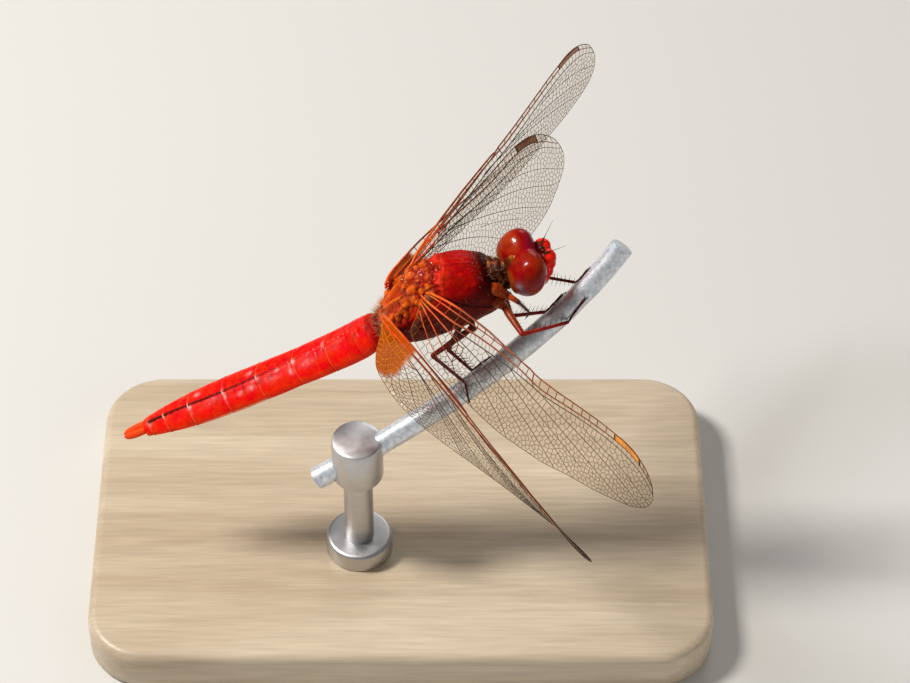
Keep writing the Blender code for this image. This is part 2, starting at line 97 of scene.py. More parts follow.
LEGS = {
    "leg_fore_left": ((6.75, 1.35, -3.45), (8.75, 1.20, -6.60), (0.830, -14), (0.880, -28)),
    "leg_mid_right": ((5.75, -2.45, -3.60), (6.80, -6.05, -4.15), (0.735, 92), (0.815, 72)),
    "leg_mid_left": ((5.20, 1.35, -5.20), (4.55, -0.90, -7.90), (0.705, -12), (0.770, -50)),
    "leg_hind_right": ((1.90, -2.85, -4.15), (-2.25, -4.95, -2.55), (0.422, 18), (0.392, 128)),
    "leg_hind_left": ((2.30, 1.20, -5.40), (-2.00, -2.60, -6.10), (0.450, -12), (0.500, -70)),
}
TUCKED = ("leg_fore_right", (6.55, -1.75, -3.35), (8.20, -4.30, -1.35), (7.75, -3.55, -4.60), (7.00, -3.20, -5.80))

WIRE_R = 1.15
WIRE = [(-8.4, -5.1, 16.7), (12.6, -2.8, 30.7), (21.5, 2.0, 43.0)]
BASE_SIZE, BASE_CORNER = (64.0, 38.0, 5.0), 6.0
ROD_R, ROD_AT_T, CLAMP_R, CLAMP_H, FOOT_R, FOOT_H = 1.5, 0.10, 2.6, 5.4, 3.4, 2.2

RNG = np.random.default_rng(20261)


# ================================================================ helpers
def curve_through(table, x):
    """Smooth monotone cubic through a table of (x, y), for rising x."""
    t = np.asarray(table, float)
    xs, ys = t[:, 0], t[:, 1]
    h = np.diff(xs)
    d = np.diff(ys) / h
    m = np.zeros(len(xs))
    m[0], m[-1] = d[0], d[-1]
    for i in range(1, len(xs) - 1):
        if d[i - 1] * d[i] > 0:
            w1, w2 = 2 * h[i] + h[i - 1], h[i] + 2 * h[i - 1]
            m[i] = (w1 + w2) / (w1 / d[i - 1] + w2 / d[i])
    x = np.asarray(x, float)
    k = np.clip(np.searchsorted(xs, x) - 1, 0, len(h) - 1)
    s = np.clip((x - xs[k]) / h[k], 0, 1)
    return ((2 * s**3 - 3 * s**2 + 1) * ys[k] + (s**3 - 2 * s**2 + s) * h[k] * m[k]
            + (-2 * s**3 + 3 * s**2) * ys[k + 1] + (s**3 - s**2) * h[k] * m[k + 1])


def smoothstep(a, b, x):
    t = np.clip((np.asarray(x, float) - a) / (b - a), 0, 1)
    return t * t * (3 - 2 * t)


def gauss(x, w):
    return np.exp(-((np.asarray(x, float) / w) ** 2))


def place(points, matrix):
    """Points in mm of a frame, as metres of the row frame."""
    m = np.array(matrix)
    return (np.asarray(points, float) @ m[:3, :3].T + m[:3, 3]) * MM


def unit(v):
    n = np.linalg.norm(v, axis=-1, keepdims=True)
    return v / np.maximum(n, 1e-12)


def mesh_object(name, verts, polys, mats, colours=None, uv=None, slots=None, smooth=True):
    """Mesh from arrays: polys is a list of (k, n) index arrays, colours are per vertex."""
    me = bpy.data.meshes.new(name)
    polys = [np.asarray(p, np.int32) for p in polys if len(p)]
    loops = np.concatenate([p.ravel() for p in polys])
    sizes = np.concatenate([np.full(len(p), p.shape[1], np.int32) for p in polys])
    starts = np.concatenate([[0], np.cumsum(sizes)[:-1]]).astype(np.int32)
    me.vertices.add(len(verts))
    me.vertices.foreach_set("co", np.asarray(verts, np.float32).ravel())
    me.loops.add(len(loops))
    me.loops.foreach_set("vertex_index", loops)
    me.polygons.add(len(sizes))
    me.polygons.foreach_set("loop_start", starts)
    if slots is not None:
        me.polygons.foreach_set("material_index", np.asarray(slots, np.int32))
    me.polygons.foreach_set("use_smooth", np.full(len(sizes), smooth, bool))
    me.update(calc_edges=True)
    me.validate()
    if colours is not None:
        c = np.ones((len(verts), 4), np.float32)
        c[:, :3] = colours
        me.attributes.new("Col", "FLOAT_COLOR", "POINT").data.foreach_set("color", c.ravel())
    if uv is not None:
        layer = me.uv_layers.new(name="OFBake")
        layer.data.foreach_set("uv", np.asarray(uv, np.float32).ravel())
    for m in mats:
        me.materials.append(m)
    ob = bpy.data.objects.new(name, me)
    bpy.context.scene.collection.objects.link(ob)
    return ob


def floats(ob, name, values):
    ob.data.attributes.new(name, "FLOAT", "POINT").data.foreach_set("value", np.asarray(values, np.float32))


def grid_faces(rows, cols, wrap=True):
    i, j = np.meshgrid(np.arange(rows - 1), np.arange(cols if wrap else cols - 1), indexing="ij")
    k = (j + 1) % cols
    return np.stack([i * cols + j, i * cols + k, (i + 1) * cols + k, (i + 1) * cols + j], -1).reshape(-1, 4)


def grid_normals(p):
    """Normals of a grid of points that wraps along its second axis."""
    du = np.gradient(p, axis=0)
    dv = np.roll(p, -1, 1) - np.roll(p, 1, 1)
    return unit(np.cross(dv, du))


def tubes(paths, radii, sides, ref=None, flat=1.0):
    """K tubes of m points each: verts, quads, caps.  radii is (K, m)."""
    p = np.asarray(paths, float)
    r = np.broadcast_to(np.asarray(radii, float), p.shape[:2])
    t = unit(np.gradient(p, axis=1))
    if ref is None:
        ref = np.where(np.abs(t[..., 2:3]) < 0.8, [[[0.0, 0, 1]]], [[[1.0, 0, 0]]])
    a = unit(np.cross(t, np.broadcast_to(ref, p.shape)))
    b = np.cross(t, a)
    ang = np.arange(sides) * TAU / sides
    v = (p[:, :, None] + r[:, :, None, None] * (a[:, :, None] * np.cos(ang)[None, None, :, None]
         + b[:, :, None] * (flat * np.sin(ang))[None, None, :, None]))
    k, m = p.shape[:2]
    base = (np.arange(k) * m * sides)[:, None, None]
    q = grid_faces(m, sides)[None] + base
    first = np.arange(sides)[::-1][None] + base[:, 0]
    last = ((m - 1) * sides + np.arange(sides))[None] + base[:, 0]
    return v.reshape(-1, 3), q.reshape(-1, 4), np.concatenate([first, last])


class Batch:
    """Collects meshes with colours and material slots into one object."""

    def __init__(self):
        self.v, self.p, self.c, self.s, self.u, self.n = [], {}, [], {}, [], 0

    def add(self, verts, polys, colour, slot=0):
        verts = np.asarray(verts, float)
        self.v.append(verts)
        self.c.append(np.broadcast_to(np.asarray(colour, float), verts.shape))
        for q in polys:
            q = np.asarray(q)
            if len(q):
                self.p.setdefault(q.shape[1], []).append(q + self.n)
                self.s.setdefault(q.shape[1], []).append(np.full(len(q), slot))
        self.n += len(verts)

    def build(self, name, matrix, mats, smooth=True, uv=None):
        keys = sorted(self.p)
        polys = [np.concatenate(self.p[k]) for k in keys]
        slots = np.concatenate([np.concatenate(self.s[k]) for k in keys])
        return mesh_object(name, place(np.concatenate(self.v), matrix), polys, mats,
                           np.concatenate(self.c), slots=slots, smooth=smooth, uv=uv)


def ball(centre, semi, u=24, v=14, turn=None):
    """Closed ellipsoid as verts and faces."""
    th = np.linspace(0, math.pi, v + 1)[1:-1]
    ph = np.arange(u) * TAU / u
    p = np.stack([np.sin(th)[:, None] * np.cos(ph), np.sin(th)[:, None] * np.sin(ph),
                  np.cos(th)[:, None] * np.ones(u)], -1).reshape(-1, 3)
    p = np.concatenate([p, [[0, 0, 1], [0, 0, -1]]]) * np.asarray(semi)
    if turn is not None:
        p = p @ np.array(turn.to_3x3()).T
    q = grid_faces(v - 1, u)[:, ::-1]
    n = (v - 1) * u
    j = np.arange(u)
    k = (j + 1) % u
    top = np.stack([np.full(u, n), j, k], -1)
    bottom = np.stack([np.full(u, n + 1), (v - 2) * u + k, (v - 2) * u + j], -1)
    return p + np.asarray(centre), [q[:, ::-1], top, bottom]


def ride(ob, slot, *nodes):
    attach(ob, "root")
    if nodes:
        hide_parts(*nodes)
    return ob


def value_noise(p, scale, seed=0):
    """Smooth noise in -1..1 at points p, from a few turned sine sums."""
    rng = np.random.default_rng(seed)
    out = np.zeros(len(p))
    for _ in range(7):
        w = rng.normal(size=3)
        w *= TAU / scale * rng.uniform(0.7, 1.4) / np.linalg.norm(w)
        out += np.sin(p @ w + rng.uniform(0, TAU))
    return out / 3.2


# ================================================================ materials
def new_material(name):
    mat = bpy.data.materials.new(name)
    mat.use_nodes = True
    nt = mat.node_tree
    return mat, nt, nt.nodes["Principled BSDF"]


def add(nt, kind, values=(), **props):
    n = nt.nodes.new(kind)
    for k, v in props.items():
        setattr(n, k, v)
    for k, v in dict(values).items():
        n.inputs[k].default_value = v
    return n


def noise_node(nt, scale, detail=3.0, rough=0.55, stretch=None):
    """Noise over the piece; scale is in lumps per millimetre."""
    co = add(nt, "ShaderNodeTexCoord")
    mp = add(nt, "ShaderNodeMapping")
    mp.inputs["Scale"].default_value = tuple(scale / MM * s for s in (stretch or (1, 1, 1)))
    nt.links.new(co.outputs["Object"], mp.inputs["Vector"])
    n = add(nt, "ShaderNodeTexNoise", {"Scale": 1.0, "Detail": detail, "Roughness": rough})
    nt.links.new(mp.outputs[0], n.inputs["Vector"])
    return n


def ramp(nt, source, a, b, lo=0.3, hi=0.7):
    n = add(nt, "ShaderNodeMapRange", {"From Min": lo, "From Max": hi, "To Min": a, "To Max": b})
    nt.links.new(source, n.inputs["Value"])
    return n.outputs["Result"]


def painted(nt, bsdf, scale, dark, lively=0.0):
    """Base colour from the Col attribute, broken by noise."""
    at = add(nt, "ShaderNodeAttribute", attribute_name="Col")
    n = noise_node(nt, scale, 4.0)
    mix = add(nt, "ShaderNodeHueSaturation")
    mix.inputs["Fac"].default_value = 1.0
    nt.links.new(at.outputs["Color"], mix.inputs["Color"])
    nt.links.new(ramp(nt, n.outputs["Fac"], 1 - dark, 1 + dark * 0.6), mix.inputs["Value"])
    if lively:
        m = noise_node(nt, scale * 0.35, 2.0)
        nt.links.new(ramp(nt, m.outputs["Fac"], 0.5 - lively, 0.5 + lively), mix.inputs["Hue"])
    nt.links.new(mix.outputs["Color"], bsdf.inputs["Base Color"])
    return n


def bump(nt, bsdf, source, strength, distance):
    b = add(nt, "ShaderNodeBump", {"Strength": strength, "Distance": distance * MM})
    nt.links.new(source, b.inputs["Height"])
    nt.links.new(b.outputs["Normal"], bsdf.inputs["Normal"])
    return b


def cuticle(name, rough=(0.25, 0.42), coat=0.0, coat_rough=0.1, scale=6.0, dark=0.25, strength=0.35,
            distance=0.03, pits=9.0, spec=0.5, lively=0.01, glow=0.0):
    mat, nt, b = new_material(name)
    n = painted(nt, b, scale, dark, lively)
    nt.links.new(ramp(nt, n.outputs["Fac"], rough[0], rough[1]), b.inputs["Roughness"])
    v = add(nt, "ShaderNodeTexVoronoi", {"Scale": pits / MM})
    co = add(nt, "ShaderNodeTexCoord")
    nt.links.new(co.outputs["Object"], v.inputs["Vector"])
    mix = add(nt, "ShaderNodeMath", operation="ADD")
    nt.links.new(v.outputs["Distance"], mix.inputs[0])
    nt.links.new(n.outputs["Fac"], mix.inputs[1])
    bump(nt, b, mix.outputs[0], strength, distance)
    b.inputs["Coat Weight"].default_value = coat
    b.inputs["Coat Roughness"].default_value = coat_rough
    b.inputs["Specular IOR Level"].default_value = spec
    if glow:
        b.inputs["Subsurface Weight"].default_value = glow
        b.inputs["Subsurface Radius"].default_value = (1.0, 0.15, 0.08)
        b.inputs["Subsurface Scale"].default_value = 0.4 * MM
    return mat


MAT_THORAX = cuticle("thorax cuticle", (0.36, 0.50), 0.02, 0.20, 5.0, 0.20, 0.30, 0.03, 8.0, spec=0.05, lively=0.003)
MAT_NOTUM = cuticle("hinge plates", (0.24, 0.40), 0.09, 0.05, 7.0, 0.22, 0.26, 0.03, 9.0, spec=0.10, lively=0.003)
MAT_ABDOMEN = cuticle("abdomen cuticle", (0.30, 0.46), 0.05, 0.12, 3.0, 0.10, 0.32, 0.03, 7.0, spec=0.07, lively=0.003)
MAT_HEAD = cuticle("head cuticle", (0.26, 0.42), 0.08, 0.10, 6.0, 0.14, 0.25, 0.025, 10.0, spec=0.08, lively=0.004)
MAT_NECK = cuticle("neck cuticle", (0.30, 0.55), 0.10, 0.1, 5.0, 0.35, 0.5, 0.05, 7.0, spec=0.2)
MAT_LEG = cuticle("leg cuticle", (0.28, 0.45), 0.06, 0.10, 8.0, 0.25, 0.3, 0.02, 14.0, spec=0.12)
MAT_SPINE = cuticle("spine", (0.35, 0.5), 0.0, 0.2, 8.0, 0.2, 0.1, 0.01, 14.0)
MAT_VEIN = cuticle("wing vein", (0.28, 0.42), 0.05, 0.1, 3.0, 0.22, 0.15, 0.01, 14.0, spec=0.16)
MAT_STIGMA = cuticle("wing spot", (0.30, 0.45), 0.2, 0.15, 5.0, 0.2, 0.3, 0.02, 12.0)


def eye_material():
    mat, nt, b = new_material("compound eye")
    n = painted(nt, b, 1.2, 0.22, 0.012)
    co = add(nt, "ShaderNodeTexCoord")
    v = add(nt, "ShaderNodeTexVoronoi", {"Scale": 24.0 / MM, "Randomness": 0.35})
    nt.links.new(co.outputs["Object"], v.inputs["Vector"])
    inv = add(nt, "ShaderNodeMath", operation="SUBTRACT")
    inv.inputs[0].default_value = 1.0
    nt.links.new(v.outputs["Distance"], inv.inputs[1])
    bump(nt, b, inv.outputs[0], 0.10, 0.008)
    nt.links.new(ramp(nt, n.outputs["Fac"], 0.22, 0.34), b.inputs["Roughness"])
    b.inputs["Coat Weight"].default_value = 0.26
    b.inputs["Coat Roughness"].default_value = 0.03
    b.inputs["Coat IOR"].default_value = 1.5
    b.inputs["Specular IOR Level"].default_value = 0.08
    return mat


def membrane_material():
    mat, nt, b = new_material("wing membrane")
    at = add(nt, "ShaderNodeAttribute", attribute_name="Col")
    n = noise_node(nt, 2.5, 3.0)
    hs = add(nt, "ShaderNodeHueSaturation")
    nt.links.new(at.outputs["Color"], hs.inputs["Color"])
    nt.links.new(ramp(nt, n.outputs["Fac"], 0.85, 1.1), hs.inputs["Value"])
    nt.links.new(hs.outputs["Color"], b.inputs["Base Color"])
    b.inputs["Roughness"].default_value = 0.30
    b.inputs["Specular IOR Level"].default_value = 0.04
    clear = add(nt, "ShaderNodeBsdfTransparent", {"Color": (0.955, 0.94, 0.90, 1)})
    glossy = add(nt, "ShaderNodeBsdfGlossy", {"Color": (1.0, 0.98, 0.95, 1), "Roughness": 0.18})
    fine = noise_node(nt, 3.2, 2.0)
    bp = add(nt, "ShaderNodeBump", {"Strength": 0.15, "Distance": 0.05 * MM})
    nt.links.new(fine.outputs["Fac"], bp.inputs["Height"])
    nt.links.new(bp.outputs["Normal"], glossy.inputs["Normal"])
    nt.links.new(bp.outputs["Normal"], b.inputs["Normal"])
    cover = add(nt, "ShaderNodeAttribute", attribute_name="Cover")
    stain = add(nt, "ShaderNodeMix", data_type="RGBA")
    stain.inputs[6].default_value = (0.955, 0.94, 0.90, 1)
    stain.inputs[7].default_value = (0.80, 0.22, 0.015, 1)
    nt.links.new(cover.outputs["Fac"], stain.inputs[0])
    nt.links.new(stain.outputs[2], clear.inputs["Color"])
    body = add(nt, "ShaderNodeMixShader")
    nt.links.new(cover.outputs["Fac"], body.inputs["Fac"])
    nt.links.new(clear.outputs[0], body.inputs[1])
    nt.links.new(b.outputs[0], body.inputs[2])
    lw = add(nt, "ShaderNodeLayerWeight", {"Blend": 0.10})
    nt.links.new(bp.outputs["Normal"], lw.inputs["Normal"])
    top = add(nt, "ShaderNodeMixShader")
    less = add(nt, "ShaderNodeMath", operation="MULTIPLY")
    less.inputs[1].default_value = 0.12
    nt.links.new(lw.outputs["Fresnel"], less.inputs[0])
    bare = add(nt, "ShaderNodeMath", operation="SUBTRACT")
    bare.inputs[0].default_value = 1.0
    nt.links.new(cover.outputs["Fac"], bare.inputs[1])
    share = add(nt, "ShaderNodeMath", operation="MULTIPLY")
    nt.links.new(less.outputs[0], share.inputs[0])
    nt.links.new(bare.outputs[0], share.inputs[1])
    nt.links.new(share.outputs[0], top.inputs["Fac"])
    nt.links.new(body.outputs[0], top.inputs[1])
    nt.links.new(glossy.outputs[0], top.inputs[2])
    nt.links.new(top.outputs[0], nt.nodes["Material Output"].inputs["Surface"])
    return mat


def wire_material():
    mat, nt, b = new_material("galvanised zinc")
    spangle = noise_node(nt, 2.2, 4.0, 0.65)
    grit = noise_node(nt, 11.0, 3.0, 0.6)
    mix = add(nt, "ShaderNodeMix", data_type="RGBA")
    mix.inputs[6].default_value = (0.56, 0.63, 0.72, 1)
    mix.inputs[7].default_value = (0.90, 0.94, 0.98, 1)
    nt.links.new(ramp(nt, spangle.outputs["Fac"], 0, 1, 0.38, 0.62), mix.inputs[0])
    nt.links.new(mix.outputs[2], b.inputs["Base Color"])
    b.inputs["Metallic"].default_value = 0.58
    nt.links.new(ramp(nt, grit.outputs["Fac"], 0.26, 0.50), b.inputs["Roughness"])
    bump(nt, b, grit.outputs["Fac"], 0.45, 0.04)
    return mat


def wood_material():
    mat, nt, b = new_material("maple board")
    co = add(nt, "ShaderNodeTexCoord")
    mp = add(nt, "ShaderNodeMapping")
    mp.inputs["Scale"].default_value = (14.0, 190.0, 190.0)
    nt.links.new(co.outputs["Object"], mp.inputs["Vector"])
    rings = add(nt, "ShaderNodeTexNoise", {"Scale": 1.0, "Detail": 6.0, "Roughness": 0.6, "Distortion": 0.6})
    nt.links.new(mp.outputs[0], rings.inputs["Vector"])
    mix = add(nt, "ShaderNodeMix", data_type="RGBA")
    mix.inputs[6].default_value = (0.50, 0.385, 0.26, 1)
    mix.inputs[7].default_value = (0.66, 0.545, 0.40, 1)
    nt.links.new(ramp(nt, rings.outputs["Fac"], 0, 1, 0.36, 0.64), mix.inputs[0])
    pores = add(nt, "ShaderNodeMapping")
    pores.inputs["Scale"].default_value = (160.0, 2600.0, 2600.0)
    nt.links.new(co.outputs["Object"], pores.inputs["Vector"])
    fine = add(nt, "ShaderNodeTexNoise", {"Scale": 1.0, "Detail": 2.0, "Roughness": 0.5})
    nt.links.new(pores.outputs[0], fine.inputs["Vector"])
    hs = add(nt, "ShaderNodeHueSaturation")
    nt.links.new(mix.outputs[2], hs.inputs["Color"])
    nt.links.new(ramp(nt, fine.outputs["Fac"], 0.88, 1.06), hs.inputs["Value"])
    nt.links.new(hs.outputs["Color"], b.inputs["Base Color"])
    nt.links.new(ramp(nt, fine.outputs["Fac"], 0.50, 0.38), b.inputs["Roughness"])
    bump(nt, b, fine.outputs["Fac"], 0.15, 0.03)
    b.inputs["Coat Weight"].default_value = 0.15
    b.inputs["Coat Roughness"].default_value = 0.3
    return mat


def steel_material():
    mat, nt, b = new_material("satin steel")
    b.inputs["Metallic"].default_value = 1.0
    co = add(nt, "ShaderNodeTexCoord")
    mp = add(nt, "ShaderNodeMapping")
    mp.inputs["Scale"].default_value = (700.0, 700.0, 9000.0)
    nt.links.new(co.outputs["Object"], mp.inputs["Vector"])
    lines = add(nt, "ShaderNodeTexNoise", {"Scale": 1.0, "Detail": 2.0})
    nt.links.new(mp.outputs[0], lines.inputs["Vector"])
    mix = add(nt, "ShaderNodeMix", data_type="RGBA")
    mix.inputs[6].default_value = (0.50, 0.50, 0.51, 1)
    mix.inputs[7].default_value = (0.68, 0.68, 0.69, 1)
    nt.links.new(lines.outputs["Fac"], mix.inputs[0])
    nt.links.new(mix.outputs[2], b.inputs["Base Color"])
    nt.links.new(ramp(nt, lines.outputs["Fac"], 0.38, 0.50), b.inputs["Roughness"])
    bump(nt, b, lines.outputs["Fac"], 0.08, 0.01)
    return mat


MAT_EYE = eye_material()
MAT_MEMBRANE = membrane_material()
MAT_WIRE = wire_material()
MAT_WOOD = wood_material()
MAT_STEEL = steel_material()


# ================================================================ trunk skin
RED_TOP = np.array((0.41, 0.0022, 0.0012))
RED_LOW = np.array((0.120, 0.0016, 0.0010))
RED_CREST = np.array((0.78, 0.030, 0.008))
ORANGE = np.array((0.80, 0.135, 0.006))
AMBER = np.array((0.75, 0.24, 0.03))
ABD_RED = np.array((0.84, 0.0065, 0.0020))
ABD_ORANGE = np.array((0.92, 0.038, 0.0030))
DARK = np.array((0.022, 0.003, 0.003))

# bumps of the back between the wings: x, y, length and breadth radii, height, orange share
SCLERITES = [
    (2.42, 1.02, 0.60, 0.92, 0.40, 0.0), (1.55, 0.42, 0.50, 0.40, 0.30, 0.40), (1.15, 1.35, 0.42, 0.36, 0.32, 0.90),
    (0.42, 1.45, 0.36, 0.34, 0.32, 1.00), (0.30, 0.30, 0.34, 0.26, 0.22, 0.55),
    (-0.55, 0.80, 0.72, 0.52, 0.42, 0.75), (-1.30, 0.00, 0.55, 0.42, 0.40, 0.65),
    (-0.75, 1.72, 0.50, 0.40, 0.32, 0.85), (-1.85, 1.45, 0.58, 0.48, 0.34, 0.85),
    (-2.60, 1.80, 0.36, 0.30, 0.36, 1.00), (-3.28, 1.88, 0.38, 0.32, 0.36, 1.00),
    (-4.10, 1.55, 0.50, 0.36, 0.34, 0.95), (-5.00, 1.20, 0.45, 0.36, 0.30, 0.85),
    (-5.45, 0.00, 0.36, 0.70, 0.26, 0.60),
    (1.25, 2.05, 0.42, 0.34, 0.34, 0.70), (0.45, 2.20, 0.34, 0.30, 0.30, 1.0),
    (-0.35, 2.20, 0.36, 0.30, 0.34, 0.9), (-2.35, 2.15, 0.34, 0.28, 0.30, 0.8),
]
RIDGE = ((-4.75, 0.12), (-1.75, 0.88))      # long raised bar each side of the middle: x, y
# painted highlights (glints) on the abdomen: along, across, their radii, strength
GLINTS = [
    (20.4, 0.90, 0.30, 0.24, 0.75), (14.5, 0.80, 0.28, 0.26, 0.70), (10.1, -1.05, 0.24, 0.24, 0.75),
    (11.5, -0.36, 0.22, 0.16, 0.75), (14.6, -0.90, 0.32, 0.22, 0.80), (15.8, -0.95, 0.26, 0.20, 0.60),
    (17.5, -0.45, 0.16, 0.55, 0.85), (13.7, -0.25, 0.16, 0.26, 0.85), (8.2, -1.00, 0.70, 0.38, 0.22),
    (19.1, -0.55, 0.75, 0.26, 0.22), (12.2, -0.85, 0.80, 0.35, 0.16), (9.6, -0.15, 0.20, 0.26, 0.80),
    (6.1, 0.10, 0.16, 0.40, 0.60), (21.3, -0.50, 0.14, 0.45, 0.55), (4.4, -0.50, 0.50, 0.18, 0.22),
    (25.9, -0.25, 0.16, 0.30, 0.60),
]
SUTURES = [((1.7, 2.7), (5.5, -3.4), 0.10, 0.13), ((0.0, 2.4), (3.2, -4.4), 0.06, 0.10),
           ((-2.9, 1.6), (0.5, -4.6), 0.10, 0.13), ((-5.0, 0.3), (-2.2, -4.2), 0.06, 0.12)]


def segment_distance(x, z, a, b):
    ax, az, bx, bz = *a, *b
    dx, dz = bx - ax, bz - az
    t = np.clip(((x - ax) * dx + (z - az) * dz) / (dx * dx + dz * dz), 0, 1)
    return np.hypot(x - ax - dx * t, z - az - dz * t), t


def abdomen_axis(s):
    total = sum(seg[1] for seg in SEGMENTS)
    a = math.radians(ABDOMEN_UP)
    back = np.array((-math.cos(a), 0, math.sin(a)))
    up = np.array((math.sin(a), 0, math.cos(a)))
    f = np.asarray(s, float) / total
    return np.array(ABDOMEN_AT) + np.multiply.outer(s, back) - np.multiply.outer(ABDOMEN_SAG[0] * f / (f + ABDOMEN_SAG[1]) * (1 - f), up), back, up


def build_skin():
    n = 180
    t = np.arange(n) * TAU / n
    cos, sin = np.cos(t), np.sin(t)
    # thorax rings, front to rear
    xs = np.concatenate([np.linspace(6.47, 6.05, 10)[:-1], np.linspace(6.05, -6.42, 178)])
    tab = THORAX[::-1]
    front = smoothstep(6.60, 6.30, xs) ** 0.5
    top = curve_through(tab[:, (0, 1)], np.minimum(xs, 6.35))
    low = curve_through(tab[:, (0, 2)], np.minimum(xs, 6.35))
    half = curve_through(tab[:, (0, 3)], np.minimum(xs, 6.35))
    mid, b = (top + low) / 2, (top - low) / 2 * front
    half = half * front
    e = 2 / THORAX_POWER
    cy = np.sign(cos) * np.abs(cos) ** e
    sz = np.sign(sin) * np.abs(sin) ** e
    p = np.stack([np.repeat(xs[:, None], n, 1), half[:, None] * cy, mid[:, None] + b[:, None] * sz], -1)
    nrm = grid_normals(p)
    if nrm[90, n // 4, 2] < 0:
        nrm = -nrm
    x, y, z = p[..., 0], p[..., 1], p[..., 2]
    ay = np.abs(y)
    topness = nrm[..., 2]
    side = smoothstep(0.75, 0.35, np.abs(topness))
    d = np.zeros(x.shape)
    dark = np.zeros(x.shape)
    orange = np.zeros(x.shape)
    crest = np.zeros(x.shape)
    for a, c, depth, w in SUTURES:
        dist, s = segment_distance(x, z, a, c)
        g = gauss(dist, w) * side * smoothstep(0.0, 0.08, s) * smoothstep(1.0, 0.92, s)
        d -= depth * g
        d += depth * 0.35 * gauss(dist - 2.2 * w, w) * side
        dark = np.maximum(dark, 0.85 * g)
    # keel of the front dome and the crest that ends it before the wings
    keel = gauss(ay, 0.09) * smoothstep(6.1, 5.6, x) * smoothstep(2.9, 3.3, x) * (topness > 0)
    d += 0.045 * keel
    crest_x = 3.30 - 0.27 * ay**1.45
    cr = gauss(x - crest_x, 0.20) * smoothstep(2.75, 2.2, ay) * smoothstep(0.1, 0.5, topness)
    d += 0.14 * cr
    dark = np.maximum(dark, 0.40 * gauss(x - crest_x + 0.16, 0.07) * smoothstep(2.75, 2.2, ay) * (topness > 0.3))
    crest = np.maximum(crest, smoothstep(0.9, 0.0, np.abs(x - crest_x + 0.25)) * smoothstep(2.8, 2.3, ay) * (topness > 0.2))
    behind = smoothstep(crest_x, crest_x - 0.45, x)
    notum = behind * smoothstep(0.35, 0.62, topness) * smoothstep(-6.3, -5.7, x)
    d -= 0.22 * notum
    # the plates' outlines are irregular and their tops are creased
    ragged = 1 + 0.15 * value_noise(p.reshape(-1, 3), 0.75, 31).reshape(x.shape)
    plates = 1 + 0.22 * value_noise(p.reshape(-1, 3) * np.array((0.6, 1.4, 1.0)), 0.60, 33).reshape(x.shape)
    for sx, sy, rx, ry, h, share in SCLERITES:
        for s in ((1,) if sy == 0 else (1, -1)):
            q = np.sqrt(((x - sx) / rx) ** 2 + ((y - s * sy) / ry) ** 2) * ragged
            g = smoothstep(1.30, 0.45, q) * (topness > 0.1)
            d += (0.66 * h + 0.08) * g * plates
            orange = np.maximum(orange, share * g)
            # painted shade in the creases round each plate
            dark = np.maximum(dark, 0.60 * gauss(q - 1.30, 0.20) * (topness > 0.1) * notum)
    bar, along = segment_distance(x, ay, *RIDGE)
    g = gauss(bar, 0.24) * smoothstep(0.0, 0.1, along) * smoothstep(1.0, 0.9, along) * (topness > 0.1)
    d += 0.42 * g
    orange = np.maximum(orange, 0.9 * g)
    # painted shade along the foot of each bar
    dark = np.maximum(dark, 0.45 * gauss(bar - 0.45, 0.12) * (topness > 0.1) * notum)
    # front collar, spiracle, coxal swellings
    d += 0.10 * gauss(x - 6.0, 0.16)
    dark = np.maximum(dark, 0.8 * smoothstep(6.0, 6.4, x))
    for sx, sz_, r, h in ((5.7, -3.6, 0.9, 0.25), (4.5, -4.6, 1.0, 0.25), (1.9, -4.6, 1.2, 0.28)):
        g = gauss(np.hypot(x - sx, z - sz_), r) * smoothstep(0.6, 0.0, topness)
        d += h * g * 0.6
    q = np.hypot((x - 1.1) / 0.28, (z + 2.6) / 0.42)
    d -= 0.10 * gauss(q, 0.8) * side
    d += 0.06 * gauss(q - 1.3, 0.3) * side
    dark = np.maximum(dark, 0.7 * gauss(q, 0.7) * side)
    wrinkle = value_noise(p.reshape(-1, 3), 0.55, 3).reshape(x.shape)
    d += 0.012 * wrinkle + 0.05 * wrinkle * notum
    p = p + nrm * d[..., None]
    # darker towards the bottom: partly the sides' own darker red, partly painted shade on the lower sides
    low_mix = smoothstep(1.7, 0.2, z + 0.25 * np.sin(1.7 * x))
    col = RED_TOP[None, None] * (1 - low_mix[..., None]) + RED_LOW * low_mix[..., None]
    streak = value_noise(p.reshape(-1, 3) * np.array((0.22, 1.0, 1.0)), 0.55, 6).reshape(x.shape)
    col = col * (1 + 0.16 * streak[..., None])
    col = col * (1 - 0.50 * smoothstep(5.1, 6.0, x))[..., None]
    col = col * (1 + 0.14 * value_noise(p.reshape(-1, 3), 1.6, 5).reshape(x.shape)[..., None])
    col = col + (RED_CREST - col) * crest[..., None]
    base_red = np.array((0.44, 0.012, 0.001)) + (np.array((0.60, 0.050, 0.003)) - np.array((0.44, 0.012, 0.001))) * smoothstep(0.6, -2.2, x)[..., None]
    lobe = gauss(np.sqrt(((x - 2.42) / 0.66) ** 2 + ((ay - 1.02) / 1.05) ** 2), 0.85) * (topness > 0.2)
    col = col + (base_red - col) * (0.80 * notum * (1 - lobe))[..., None]
    col = col + (ORANGE - col) * orange[..., None]
    col = col + (DARK - col) * np.clip(dark, 0, 1)[..., None]
    col = col + (np.array((0.10, 0.002, 0.001)) - col) * (0.45 * keel[..., None])
